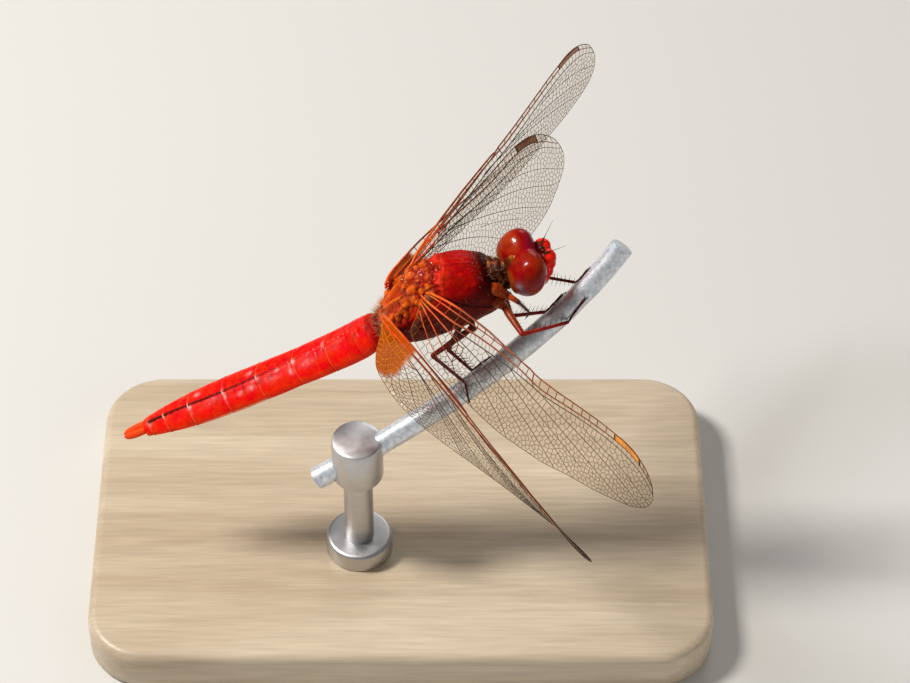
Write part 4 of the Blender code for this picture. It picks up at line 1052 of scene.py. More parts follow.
HIND_VEINS = {
    "Sc": ([(-0.03, 0.018), (0.0, 0.014), (0.1, 0.006), (0.25, -0.003), (0.36, -0.010), (0.40, -0.012)], (0.080, 0.055), -1.0, (1.0, 0.9)),
    "R1": ([(-0.03, 0.024), (0.0, 0.028), (0.1, 0.020), (0.25, 0.010), (0.4, 0.010), (0.55, 0.014), (0.65, 0.010), (0.77, 0.001), (0.84, 0.007), (0.875, 0.017), (0.93, 0.043), (0.965, 0.067), (0.988, 0.081)], (0.120, 0.040), 1.0, (1.0, 0.6)),
    "RP": ([(0.10, 0.037), (0.2, 0.034), (0.3, 0.031), (0.4, 0.032), (0.5, 0.036), (0.6, 0.035), (0.7, 0.031), (0.77, 0.027), (0.85, 0.036), (0.9, 0.050), (0.94, 0.070), (0.97, 0.090), (0.996, 0.102)], (0.075, 0.028), -0.9, (1.0, 0.2)),
    "IR1": ([(0.67, 0.052), (0.76, 0.072), (0.84, 0.098), (0.90, 0.128), (0.945, 0.155), (0.972, 0.169)], (0.030, 0.024), 0.7, (0.2, 0.0)),
    "RP2": ([(0.45, 0.0338), (0.5, 0.050), (0.6, 0.072), (0.7, 0.100), (0.8, 0.140), (0.88, 0.180), (0.935, 0.196)], (0.038, 0.024), -0.7, (0.3, 0.0)),
    "IR2": ([(0.33, 0.031), (0.42, 0.058), (0.5, 0.084), (0.6, 0.120), (0.7, 0.163), (0.77, 0.200), (0.845, 0.242)], (0.042, 0.024), 0.8, (0.4, 0.0)),
    "RP3": ([(0.22, 0.033), (0.3, 0.060), (0.4, 0.100), (0.48, 0.142), (0.55, 0.188), (0.61, 0.235), (0.66, 0.2825)], (0.042, 0.024), -0.8, (0.4, 0.0)),
    "MA": ([(0.10, 0.052), (0.17, 0.060), (0.25, 0.083), (0.34, 0.120), (0.42, 0.165), (0.48, 0.212), (0.54, 0.262), (0.572, 0.296)], (0.050, 0.026), 0.9, (0.7, 0.0)),
    "MPb": ([(-0.02, 0.034), (0.0, 0.040), (0.05, 0.053), (0.105, 0.064)], (0.085, 0.060), -0.6, (1.0, 0.9)),
    "MP": ([(0.165, 0.070), (0.22, 0.100), (0.29, 0.152), (0.35, 0.207), (0.40, 0.260), (0.440, 0.3135)], (0.045, 0.026), -0.8, (0.5, 0.0)),
    "Cu": ([(0.112, 0.096), (0.15, 0.128), (0.19, 0.178), (0.23, 0.238), (0.265, 0.292), (0.288, 0.323)], (0.045, 0.026), 0.8, (0.8, 0.0)),
    "A": ([(-0.015, 0.052), (0.02, 0.068), (0.06, 0.086), (0.112, 0.096)], (0.070, 0.045), 0.8, (1.0, 0.9)),
    "AL": ([(0.085, 0.0915), (0.098, 0.14), (0.108, 0.19), (0.122, 0.232), (0.150, 0.262), (0.185, 0.278), (0.225, 0.280), (0.247, 0.265)], (0.045, 0.028), 0.5, (1.0, 0.0)),
    "ALm": ([(0.105, 0.108), (0.128, 0.165), (0.155, 0.215), (0.205, 0.252)], (0.036, 0.026), 0.0, (0.8, 0.0)),
    "A3": ([(0.0, 0.068), (0.03, 0.105), (0.045, 0.150), (0.055, 0.195), (0.062, 0.240)], (0.055, 0.032), -0.4, (1.0, 0.9)),
    "Rspl": ([(0.49, 0.112), (0.56, 0.136), (0.64, 0.172), (0.70, 0.203)], (0.026, 0.024), 0.0, (0.0, 0.0)),
    "Mspl": ([(0.29, 0.130), (0.35, 0.160), (0.41, 0.200), (0.45, 0.235)], (0.026, 0.024), 0.0, (0.0, 0.0)),
    "T1": ([(0.105, 0.064), (0.165, 0.070)], (0.050, 0.045), 0.0, (1.0, 0.6)),
    "T2": ([(0.165, 0.070), (0.112, 0.096)], (0.045, 0.042), 0.0, (0.7, 0.6)),
    "T3": ([(0.105, 0.064), (0.112, 0.096)], (0.045, 0.042), 0.0, (0.9, 0.8)),
    "arc": ([(0.10, 0.020), (0.10, 0.063)], (0.055, 0.045), 0.0, (1.0, 1.0)),
    "sub": ([(0.400, -0.012), (0.408, 0.010), (0.416, 0.032)], (0.065, 0.045), 0.0, (0.9, 0.8)),
}
WING_KINDS = {
    "fore": dict(lead=FORE_LEAD, trail=FORE_TRAIL, veins=FORE_VEINS, nodus=0.47, stigma=(0.82, 0.93),
                 ante=[0.045, 0.085, 0.125, 0.165, 0.205, 0.245, 0.285, 0.325, 0.365, 0.405, 0.44],
                 post=[0.505, 0.540, 0.575, 0.610, 0.645, 0.680, 0.715, 0.750, 0.785], tip=[0.947, 0.965]),
    "hind": dict(lead=HIND_LEAD, trail=HIND_TRAIL, veins=HIND_VEINS, nodus=0.40, stigma=(0.775, 0.89),
                 ante=[0.05, 0.10, 0.155, 0.21, 0.265, 0.315, 0.36],
                 post=[0.440, 0.480, 0.520, 0.558, 0.596, 0.632, 0.668, 0.703, 0.742], tip=[0.912, 0.935, 0.96]),
}
PX = 0.001        # one step of the working grid, as a share of the wing's length
V0, V_ROWS, U_COLS = -0.035, 390, 1010


def smooth_path(points, step):
    """A soft curve through points, sampled about every step."""
    p = np.asarray(points, float)
    if len(p) == 2:
        n = max(2, int(np.linalg.norm(p[1] - p[0]) / step) + 1)
        return p[0] + np.linspace(0, 1, n)[:, None] * (p[1] - p[0])
    q = np.concatenate([[2 * p[0] - p[1]], p, [2 * p[-1] - p[-2]]])
    out = []
    for i in range(len(p) - 1):
        a, b, c, d = q[i:i + 4]
        n = max(2, int(np.linalg.norm(c - b) / step) + 1)
        t = np.linspace(0, 1, n, endpoint=False)[:, None]
        out.append(0.5 * ((2 * b) + (c - a) * t + (2 * a - 5 * b + 4 * c - d) * t * t + (3 * b - a - 3 * c + d) * t**3))
    return np.concatenate(out + [p[-1:]])


def wing_plan(kind, seed):
    """Veins and cells of one wing, in shares of its length."""
    k = WING_KINDS[kind]
    rng = np.random.default_rng(seed)
    lead = lambda u: curve_through(k["lead"], u)
    trail = lambda u: curve_through(k["trail"], u)
    cols = (np.arange(U_COLS) + 0.5) * PX
    vv = V0 + (np.arange(V_ROWS) + 0.5) * PX
    inside = (vv[:, None] > lead(np.minimum(cols, 1))[None]) & (vv[:, None] < trail(np.minimum(cols, 1))[None]) & (cols < 1)[None]
    wall = ~inside
    longs = []
    for name, (points, radii, ridge, warm) in k["veins"].items():
        path = smooth_path(points, 0.006)
        on = path[:, 0] > 0.0
        path[on, 1] = np.clip(path[on, 1], lead(np.minimum(path[on, 0], 1)), trail(np.minimum(path[on, 0], 1)))
        longs.append((path, radii, ridge, warm))
    r1 = smooth_path(k["veins"]["R1"][0], 0.002)
    r1_at = lambda u: np.interp(u, r1[:, 0], r1[:, 1])
    for u in k["ante"] + k["post"]:
        u = u + rng.uniform(-0.004, 0.004)
        longs.append((np.array([(u, float(lead(u))), (u + 0.002, float(r1_at(u)))]), (0.040, 0.036), 0, (0.8 - 0.6 * u, 0.6 - 0.6 * u)))
    for u in k["tip"]:
        longs.append((np.array([(u, float(lead(u))), (u + 0.006, float(r1_at(u)))]), (0.028, 0.028), 0, (0.1, 0.1)))
    for n, u in enumerate(k["stigma"]):
        longs.append((np.array([(u, float(lead(u))), (u + 0.004, float(r1_at(u + 0.004)))]), (0.060, 0.060), 0, (0.0, 0.0)))
    samples = []
    for path, *_ in longs:
        d = np.concatenate([[0], np.cumsum(np.linalg.norm(np.diff(path, axis=0), axis=1))])
        n = int(d[-1] / (PX * 0.4)) + 2
        s = np.linspace(0, d[-1], n)
        samples.append(np.stack([np.interp(s, d, path[:, 0]), np.interp(s, d, path[:, 1])], -1))
    samples = np.concatenate(samples)
    i = np.floor((samples[:, 1] - V0) / PX).astype(int)
    j = np.floor(samples[:, 0] / PX).astype(int)
    ok = (i > 0) & (i < V_ROWS - 1) & (j > 0) & (j < U_COLS - 1)
    for di, dj in ((0, 0), (1, 0), (-1, 0), (0, 1), (0, -1)):
        wall[i[ok] + di, j[ok] + dj] = True
    # regions between the long veins
    region = np.where(wall, -1, 0).tolist()
    regions = []
    for si in range(1, V_ROWS - 1):
        row = region[si]
        for sj in range(1, U_COLS - 1):
            if row[sj] != 0:
                continue
            label = len(regions) + 1
            stack, found = [(si, sj)], []
            row[sj] = label
            while stack:
                a, b = stack.pop()
                found.append((a, b))
                for c, d in ((a + 1, b), (a - 1, b), (a, b + 1), (a, b - 1)):
                    if 0 <= c < V_ROWS and 0 <= d < U_COLS and region[c][d] == 0:
                        region[c][d] = label
                        stack.append((c, d))
            regions.append(np.array(found))
    cell = np.full((V_ROWS, U_COLS), -1, np.int32)
    seeds, stretch, crosses = [], [], []
    for px in regions:
        if len(px) < 12:
            continue
        u = (px[:, 1] + 0.5) * PX
        v = V0 + (px[:, 0] + 0.5) * PX
        gap = np.maximum(r1_at(u) - lead(u), 0.006)
        ahead = v < r1_at(u)
        across = (v - lead(u)) / np.maximum(trail(u) - lead(u), 1e-3)
        area = 0.31 - 0.11 * smoothstep(0.35, 1.0, across) - 0.03 * smoothstep(0.5, 0.95, u)
        if kind == "hind":
            area = area + (0.50 - area) * smoothstep(0.18, 0.13, u)
        else:
            area = area + (0.60 - area) * smoothstep(0.19, 0.12, u)
        strip = (v < 0.05) & ~ahead
        area = np.where(strip & (u > 0.15), np.maximum(area, 0.38), area)
        area = np.where(ahead, 31 * gap * 1.4, area) / 31.0**2
        dens = 1.0 / area
        count = int(round(dens.sum() * PX * PX))
        count = max(count, 1)
        if ahead.mean() > 0.7:
            count = 1
        base = len(seeds)
        order = np.argsort(u + rng.uniform(0, 1e-4, len(u)))
        cum = np.cumsum(dens[order])
        at = np.searchsorted(cum, (np.arange(count) + 0.5) / count * cum[-1])
        s = np.stack([u[order][at], v[order][at]], -1)
        sub = rng.choice(len(px), min(len(px), max(90 * count, 400)), replace=False)
        ax = 1.55 if kind == "hind" and u.mean() < 0.15 and not ahead.mean() > 0.7 else 1.0
        s[:, 0] *= ax
        u = u * ax
        su, w = np.stack([u[sub], v[sub]], -1), dens[sub]
        for _ in range(40 if count > 1 else 1):
            d = ((su[:, None] - s[None]) ** 2).sum(-1)
            near = d.argmin(1)
            tot = np.bincount(near, w, count)
            new = np.stack([np.bincount(near, w * su[:, a], count) for a in (0, 1)], -1)
            s = np.where(tot[:, None] > 0, new / np.maximum(tot, 1e-9)[:, None], s)
        if count > 1:
            s = s + rng.normal(0, 0.0011, s.shape)
        near = np.zeros(len(px), np.int64)
        for a in range(0, len(px), 4000):
            chunk = np.stack([u[a:a + 4000], v[a:a + 4000]], -1)
            near[a:a + 4000] = ((chunk[:, None] - s[None]) ** 2).sum(-1).argmin(1)
        cell[px[:, 0], px[:, 1]] = base + near
        seeds.extend((s / np.array((ax, 1.0))).tolist())
        stretch.extend([ax] * count)
    seeds = np.array(seeds)
    pairs = []
    for di, dj in ((0, 1), (1, 0)):
        a = cell[:V_ROWS - di, :U_COLS - dj]
        b = cell[di:, dj:]
        m = (a >= 0) & (b >= 0) & (a != b)
        ii, jj = np.nonzero(m)
        lo, hi = np.minimum(a[m], b[m]), np.maximum(a[m], b[m])
        pairs.append(np.stack([lo, hi, ii * 2 + di, jj * 2 + dj], -1))
    pairs = np.concatenate(pairs)
    key = pairs[:, 0].astype(np.int64) * 100000 + pairs[:, 1]
    order = np.argsort(key, kind="stable")
    pairs, key = pairs[order], key[order]
    cuts = np.flatnonzero(np.diff(key)) + 1
    rim = np.concatenate([samples] + [np.stack([uu, f(uu)], -1) for f in (lead, trail) for uu in [np.linspace(0, 1, 2500)]])
    for grp in np.split(pairs, cuts):
        k2 = np.array((stretch[grp[0, 0]], 1.0))
        a, b = seeds[grp[0, 0]] * k2, seeds[grp[0, 1]] * k2
        pt = np.stack([(grp[:, 3] / 2 + 0.5) * PX, V0 + (grp[:, 2] / 2 + 0.5) * PX], -1) * k2
        axis = np.array((-(b - a)[1], (b - a)[0]))
        axis /= np.linalg.norm(axis)
        mid = (a + b) / 2
        s = (pt - mid) @ axis
        if s.max() - s.min() < 0.004:
            continue
        crosses.append(((mid + axis * s.min()) / k2, (mid + axis * s.max()) / k2))
    ends = np.array(crosses).reshape(-1, 2)
    for a in range(0, len(ends), 300):
        d = ((ends[a:a + 300, None] - rim[None]) ** 2).sum(-1)
        n = d.argmin(1)
        ok = d[np.arange(len(n)), n] < 0.0042**2
        ends[a:a + 300][ok] = rim[n[ok]]
    crosses = ends.reshape(-1, 2, 2)
    # height of the pleats over the whole wing
    pleat = np.zeros((V_ROWS, U_COLS))
    for c in range(U_COLS):
        u = min(cols[c], 0.999)
        amp = (1 - 0.75 * u) * smoothstep(-0.02, 0.03, u) * 0.20
        pts = [(float(lead(u)), 0.8 * amp), (float(trail(u)), 0.0)]
        for path, radii, ridge, warm in longs:
            if ridge and path[0, 0] <= u <= path[-1, 0] and path[-1, 0] - path[0, 0] > 0.1:
                fade = float(smoothstep(path[0, 0] - 0.02, path[0, 0] + 0.05, u) * smoothstep(path[-1, 0] + 0.01, path[-1, 0] - 0.08, u))
                pts.append((float(np.interp(u, path[:, 0], path[:, 1])), ridge * amp * fade))
        pts.sort()
        pleat[:, c] = np.interp(vv, [q[0] for q in pts], [q[1] for q in pts])
    kernel = np.ones(15) / 15
    pleat = np.apply_along_axis(lambda r: np.convolve(np.pad(r, 7, "edge"), kernel, "valid"), 1, pleat)
    return dict(lead=lead, trail=trail, r1=r1_at, longs=longs, crosses=crosses, seeds=seeds, cell=cell, pleat=pleat, kind=kind)


def wing_frame(spec, u, v, h=0.0):
    """Points of a wing in the body frame (mm) at shares u, v and height h (mm)."""
    kind, side, base, length, sweep, droop, pitch, twist = spec
    u, v = np.asarray(u, float), np.asarray(v, float)
    cp, sp = math.cos(math.radians(pitch)), math.sin(math.radians(pitch))
    turn = np.array(Matrix.Rotation(-math.radians(sweep), 3, "Z") @ Matrix.Rotation(-math.radians(droop), 3, "X"))
    a, c = turn @ np.array((0, 1.0, 0)), turn @ np.array((-cp, 0, sp))
    n = np.cross(a, c)
    t = np.radians(twist) * (u - 0.5)
    cc = np.multiply.outer(np.cos(t), c) + np.multiply.outer(np.sin(t), n)
    nn = np.cross(a, cc)
    p = (np.multiply.outer(u, a) + cc * v[..., None]) * length + nn * np.asarray(h)[..., None]
    if side < 0:
        p = p * np.array((1, -1, 1))
    return p + np.array(base)


def look_up(field, u, v):
    i = np.clip((v - V0) / PX - 0.5, 0, V_ROWS - 1.001)
    j = np.clip(u / PX - 0.5, 0, U_COLS - 1.001)
    i0, j0 = i.astype(int), j.astype(int)
    a, b = i - i0, j - j0
    return (field[i0, j0] * (1 - a) * (1 - b) + field[i0 + 1, j0] * a * (1 - b)
            + field[i0, j0 + 1] * (1 - a) * b + field[i0 + 1, j0 + 1] * a * b)


WARM = np.array((0.32, 0.058, 0.008))
BASE_RED = np.array((0.82, 0.100, 0.006))
COOL = np.array((0.034, 0.016, 0.009))
HOT = np.array((0.86, 0.24, 0.012))


def build_wing(name, spec, plan, seed):
    rng = np.random.default_rng(seed)
    kind, side, base, length = spec[:4]
    lead, trail, pleat = plan["lead"], plan["trail"], plan["pleat"]
    b = Batch()
    height = lambda p: look_up(pleat, p[:, 0], p[:, 1])
    # veins glow orange where they cross the amber patch
    glowing = lambda u, v: (0.9 * smoothstep(1.12, 0.94, (np.clip(u / 0.128, 0, None) ** 3 + np.clip(v / 0.262, 0, None) ** 3) ** (1 / 3)) * smoothstep(0.03, 0.06, v) if kind == "hind"
                            else 0.35 * smoothstep(0.05, 0.0, u))

    def vein(path, r0, r1, w0, w1, sides, step):
        d = np.concatenate([[0], np.cumsum(np.linalg.norm(np.diff(path, axis=0), axis=1))])
        n = max(2, int(d[-1] * length / step) + 1)
        s = np.linspace(0, d[-1], n)
        p = np.stack([np.interp(s, d, path[:, 0]), np.interp(s, d, path[:, 1])], -1)
        q = wing_frame(spec, p[:, 0], p[:, 1], height(p))
        f = s / d[-1]
        v, quads, caps = tubes(q[None], (r0 + (r1 - r0) * f)[None], sides)
        reach = np.where(p[:, 1] <= plan["r1"](p[:, 0]) + 0.004, 1.0, smoothstep(0.28, 0.08, p[:, 0]))
        w = np.repeat((w0 + (w1 - w0) * f) * reach, sides)[:, None]
        hot = np.repeat(glowing(p[:, 0], p[:, 1]), sides)[:, None]
        jitter = 1 + 0.12 * value_noise(v, 1.3, seed)[:, None]
        tone = COOL + (WARM - COOL) * w
        tone = tone + (BASE_RED - tone) * np.repeat(smoothstep(0.17, 0.07, p[:, 0]) * min(1.0, w0 + 0.1), sides)[:, None]
        b.add(v, [quads, caps], np.clip((tone + (HOT - tone) * hot) * jitter, 0, 1))

    for path, (r0, r1), ridge, (w0, w1) in plan["longs"]:
        vein(path, r0, r1, w0, w1, 7, 0.25)
    u = np.concatenate([[-0.03], np.linspace(0.0, 0.9995, 220)])
    edge = np.stack([u, np.where(u < 0, 0.012, lead(np.maximum(u, 0)))], -1)
    cut = np.searchsorted(u, WING_KINDS[kind]["nodus"])
    vein(edge[:cut + 1], 0.125, 0.075, 1.0, 0.7, 8, 0.25)
    vein(edge[cut:], 0.075, 0.034, 0.8, 0.1, 8, 0.25)
    u = np.linspace(0.0, 0.9995, 260)
    vein(np.stack([u, trail(u)], -1), 0.030, 0.026, 0.3, 0.0, 6, 0.25)
    start = 0.0
    vein(np.array([(start, float(trail(0.0))), (-0.012, 0.040)]), 0.040, 0.06, 0.9, 1.0, 6, 0.25)
    cr = plan["crosses"]
    mid = cr.mean(1)
    k = len(cr)
    t = np.array([0, 0.5, 1.0])
    p = cr[:, 0][:, None] + (cr[:, 1] - cr[:, 0])[:, None] * t[None, :, None]
    h = look_up(pleat, p[..., 0].ravel(), p[..., 1].ravel())
    q = wing_frame(spec, p[..., 0].ravel(), p[..., 1].ravel(), h).reshape(k, 3, 3)
    r = np.full((k, 3), 0.021) + 0.006 * smoothstep(0.30, 0.0, mid[:, 0])[:, None]
    r = r + 0.030 * np.asarray(glowing(mid[:, 0], mid[:, 1]))[:, None]
    v, quads, caps = tubes(q, r, 5)
    w = 0.25 * smoothstep(0.22, 0.03, mid[:, 0])
    col = COOL + (WARM - COOL) * w[:, None]
    col = col + (HOT - col) * np.asarray(glowing(mid[:, 0], mid[:, 1]))[:, None]
    b.add(v, [quads, caps], np.repeat(col, 15, axis=0))
    ob = b.build(name + "_veins", BODY, [MAT_VEIN])
    ride(ob, "wing_vein")
    # the clear sheet, one raised pane to each cell
    nu, nw = 420, 96
    uu = np.concatenate([[-0.012], np.linspace(0.0, 0.9992, nu - 1)])
    f = np.linspace(0, 1, nw)
    base_lead = np.where(uu < 0, 0.008, lead(np.maximum(uu, 0)))
    base_trail = np.where(uu < 0, 0.044, trail(np.maximum(uu, 0)))
    u2 = np.repeat(uu[:, None], nw, 1)
    v2 = base_lead[:, None] + (base_trail - base_lead)[:, None] * f[None]
    i = np.clip(((v2 - V0) / PX).astype(int), 0, V_ROWS - 1)
    j = np.clip((u2 / PX).astype(int), 0, U_COLS - 1)
    lab = plan["cell"][i, j]
    tilt_u, tilt_v = rng.normal(0, 0.040, (2, len(plan["seeds"])))
    lift = rng.uniform(0.2, 1.0, len(plan["seeds"]))
    su = plan["seeds"][np.maximum(lab, 0)]
    du, dv = (u2 - su[..., 0]) * length, (v2 - su[..., 1]) * length
    rr = np.hypot(du, dv)
    pane = (tilt_u[np.maximum(lab, 0)] * du + tilt_v[np.maximum(lab, 0)] * dv
            + 0.035 * lift[np.maximum(lab, 0)] * (1 - np.minimum(rr / 0.5, 1) ** 2))
    pane = np.where(lab >= 0, np.clip(pane, -0.06, 0.06), 0.0)
    hh = look_up(pleat, u2.ravel(), v2.ravel()).reshape(u2.shape) + pane
    pts = wing_frame(spec, u2, v2, hh)
    verts = pts.reshape(-1, 3)
    faces = grid_faces(nu, nw, wrap=False)
    if side < 0:
        faces = faces[:, ::-1]
    fu, fv = u2.ravel(), v2.ravel()
    if kind == "hind":
        # the stain ends in a rounded edge toward the rear margin
        reach = (np.clip(fu / 0.128, 0, None) ** 3 + np.clip(fv / 0.262, 0, None) ** 3) ** (1 / 3)
        amber = smoothstep(1.10, 0.92, reach + 0.035 * value_noise(verts, 2.0, 55))
        root = smoothstep(0.055, 0.0, fu)
    else:
        amber = 0.18 * smoothstep(0.036, 0.008, fu)
        root = smoothstep(0.04, 0.0, fu)
    costal = smoothstep(0.004, -0.004, fv - plan["r1"](fu)) * smoothstep(0.5, 0.1, fu)
    cover = 0.022 + 0.045 * np.clip(fu, 0, 1) + 0.84 * amber + 0.01 * root + 0.02 * costal
    cover = np.clip(cover, 0, 0.93)
    colour = np.array((0.40, 0.33, 0.24)) + (np.array((0.52, 0.090, 0.002)) - np.array((0.40, 0.33, 0.24))) * np.clip(amber + 0.5 * costal, 0, 1)[:, None]
    colour = colour + (np.array((0.16, 0.022, 0.006)) - colour) * (0.85 * smoothstep(0.46, 0.22, fu) * (1 - np.clip(amber, 0, 1)))[:, None]
    ob = mesh_object(name + "_sheet", place(verts, BODY), [faces], [MAT_MEMBRANE], np.clip(colour, 0, 1))
    floats(ob, "Cover", cover)
    ride(ob, "wing_membrane", name)
    # the spot near the tip, a thick closed pane
    s0, s1 = WING_KINDS[kind]["stigma"]
    nu, nw = 46, 10
    fu = np.linspace(0, 1, nu)[:, None] * np.ones(nw)[None]
    fv = np.ones(nu)[:, None] * np.linspace(0, 1, nw)[None]
    u2 = s0 + (s1 - s0) * fu + 0.004 * fv
    v2 = lead(u2) + (plan["r1"](u2) - lead(u2)) * (0.02 + 0.96 * fv)
    hh = look_up(pleat, u2.ravel(), v2.ravel()).reshape(u2.shape)
    dome = 0.055 * (1 - (2 * fu - 1) ** 6) * (1 - (2 * fv - 1) ** 4) + 0.01
    top = wing_frame(spec, u2, v2, hh + dome).reshape(-1, 3)
    low = wing_frame(spec, u2, v2, hh - dome).reshape(-1, 3)
    n = nu * nw
    faces = grid_faces(nu, nw, wrap=False)
    rim = np.concatenate([np.arange(nw), np.arange(1, nu) * nw + nw - 1, (nu - 1) * nw + np.arange(nw - 2, -1, -1), np.arange(nu - 2, 0, -1) * nw])
    k2 = np.roll(rim, -1)
    wall = np.stack([rim, rim + n, k2 + n, k2], -1)
    fc = [faces, faces[:, ::-1] + n, wall]
    if side < 0:
        fc = [q[:, ::-1] for q in fc]
    edge = np.maximum(np.abs(2 * fu - 1) ** 14, np.abs(2 * fv - 1) ** 6)
    # the two wings' spots are alike; the left ones are painted darker brown as painted shade
    tone = np.array((0.80, 0.27, 0.012)) if name.endswith("right") else np.array((0.40, 0.12, 0.020))
    c = tone * (1 - 0.88 * edge.reshape(-1, 1)) * (1 + 0.15 * np.sin(fu * 9.0).reshape(-1, 1))
    ob = mesh_object(name + "_spot", place(np.concatenate([top, low]), BODY), [np.concatenate(fc)], [MAT_STIGMA],
                     np.clip(np.concatenate([c, c]), 0, 1))
    ride(ob, "wing_vein")


def build_wings():
    for n, (name, spec) in enumerate(WINGS.items()):
        build_wing(name, spec, wing_plan(spec[0], 700 + n), 900 + n)


# ================================================================ wire and legs
def wire_point(t):
    p0, p1, p2 = (np.array(p) for p in WIRE)
    t = np.asarray(t, float)[..., None]
    return p0 * (1 - t) ** 2 + p1 * 2 * t * (1 - t) + p2 * t * t


def wire_side(t, degrees, off):
    way = unit(wire_point(t + 0.01) - wire_point(t - 0.01))
    up = unit(np.array((0, 0, 1.0)) - way * way[..., 2:3])
    out = np.cross(way, up)
    a = np.radians(degrees)[..., None]
    return wire_point(t) + (up * np.cos(a) + out * np.sin(a)) * (WIRE_R + np.asarray(off))[..., None]


def to_body(p):
    m = np.array(BODY_INV)
    return np.asarray(p) @ m[:3, :3].T + m[:3, 3]


def limb(b, start, end, radii, colour, sides=16, steps=16, bend=(0, 0, 0), rings=None):
    """A tapering joint of a leg with rounded ends."""
    t = np.concatenate([[0.0, 0.012, 0.03], np.linspace(0.06, 0.94, steps), [0.97, 0.988, 1.0]])
    start, end = np.asarray(start, float), np.asarray(end, float)
    path = start + np.multiply.outer(t, end - start) + np.multiply.outer(4 * t * (1 - t), bend)
    r = np.interp(t, np.linspace(0, 1, len(radii)), radii)
    r = r * np.interp(t, [0, 0.012, 0.03, 0.06, 0.94, 0.97, 0.988, 1.0], [0.45, 0.75, 0.93, 1, 1, 0.93, 0.75, 0.45])
    v, q, caps = tubes(path[None], r[None], sides)
    c = np.asarray(colour, float)
    if c.ndim == 2:
        c = np.repeat(np.stack([np.interp(t, np.linspace(0, 1, len(c)), c[:, k]) for k in range(3)], -1), sides, 0)
    b.add(v, [q, caps], c)


def spines(b, start, end, rows, count, length, r, slot, lo=0.1, hi=0.95, lean=0.55):
    """Rows of stiff spines along a limb; rows are directions."""
    start, end = np.asarray(start, float), np.asarray(end, float)
    axis = unit(end - start)
    for d in rows:
        d = unit(np.asarray(d) - axis * np.dot(d, axis))
        f = np.linspace(lo, hi, count) + RNG.uniform(-0.012, 0.012, count)
        ln = length * RNG.uniform(0.8, 1.15, count) * (0.75 + 0.25 * np.sin(math.pi * f))
        base = start + np.multiply.outer(f, end - start) + d * r * 0.6
        way = unit(d + axis * lean + RNG.normal(0, 0.06, (count, 3)))
        t = np.array([0, 0.4, 0.8, 1.0])
        path = base[:, None] + way[:, None] * (ln[:, None] * t)[..., None] + axis * (ln[:, None] * 0.12 * t * t)[..., None]
        v, q, caps = tubes(path, np.array([[0.034, 0.027, 0.014, 0.004]]), 5)
        b.add(v, [q, caps], (0.022, 0.008, 0.007), slot)


def build_leg(name, hip, knee, path, femur_col, tibia_col, rf, rt, spine_len, coxa_from):
    hip, knee = np.asarray(hip, float), np.asarray(knee, float)
    ankle = path[0]
    b = Batch()
    cox = np.asarray(coxa_from, float)
    k = 0.62 if "hind" in name else 1.0
    b.add(*ball(cox, (0.60 * k,) * 3, 20, 12), femur_col[0] * 0.75)
    b.add(*ball(hip, (0.43 * k,) * 3, 20, 12), femur_col[0] * 0.85)
    limb(b, cox, hip + unit(hip - cox) * 0.05, (0.66 * k, 0.60 * k, 0.50 * k, 0.42 * k), femur_col[0] * 0.85, 18, 8)
    d = unit(knee - hip)
    limb(b, hip - d * 0.25, hip + d * 0.45, (0.34, 0.38, 0.34), femur_col[0] * 0.8, 16, 6)
    side = unit(np.cross(d, ankle - knee)) * 0.0
    limb(b, hip + d * 0.25, knee + d * rf * 0.35, (rf * 0.80, rf * 1.05, rf, rf * 0.92, rf * 0.82, rf * 0.80), femur_col, 18, 20, side)
    e = unit(ankle - knee)
    limb(b, knee - e * rt * 0.6, ankle + e * rt * 0.3, (rt * 1.25, rt * 1.0, rt * 0.95, rt * 0.9, rt * 0.95), tibia_col, 14, 20)
    # tarsus in three joints, then two claws
    cuts = np.array([0.0, 0.22, 0.52, 1.0])
    arc = np.concatenate([[0], np.cumsum(np.linalg.norm(np.diff(path, axis=0), axis=1))])
    arc /= arc[-1]
    at = lambda f: np.array([np.interp(f, arc, path[:, k]) for k in range(3)])
    for f0, f1 in zip(cuts, cuts[1:]):
        limb(b, at(f0), at(f1 * 0.985 + 0.015 * f0), (0.085, 0.10, 0.12), tibia_col[-1] * 0.7, 12, 6)
    tip, way = path[-1], unit(path[-1] - path[-2])
    down = unit(to_body(wire_point(np.array(0.6))) * 0 + np.cross(way, np.cross(way, unit(path[len(path) // 2] - ankle) + 1e-3)))
    return b, e, tip, way


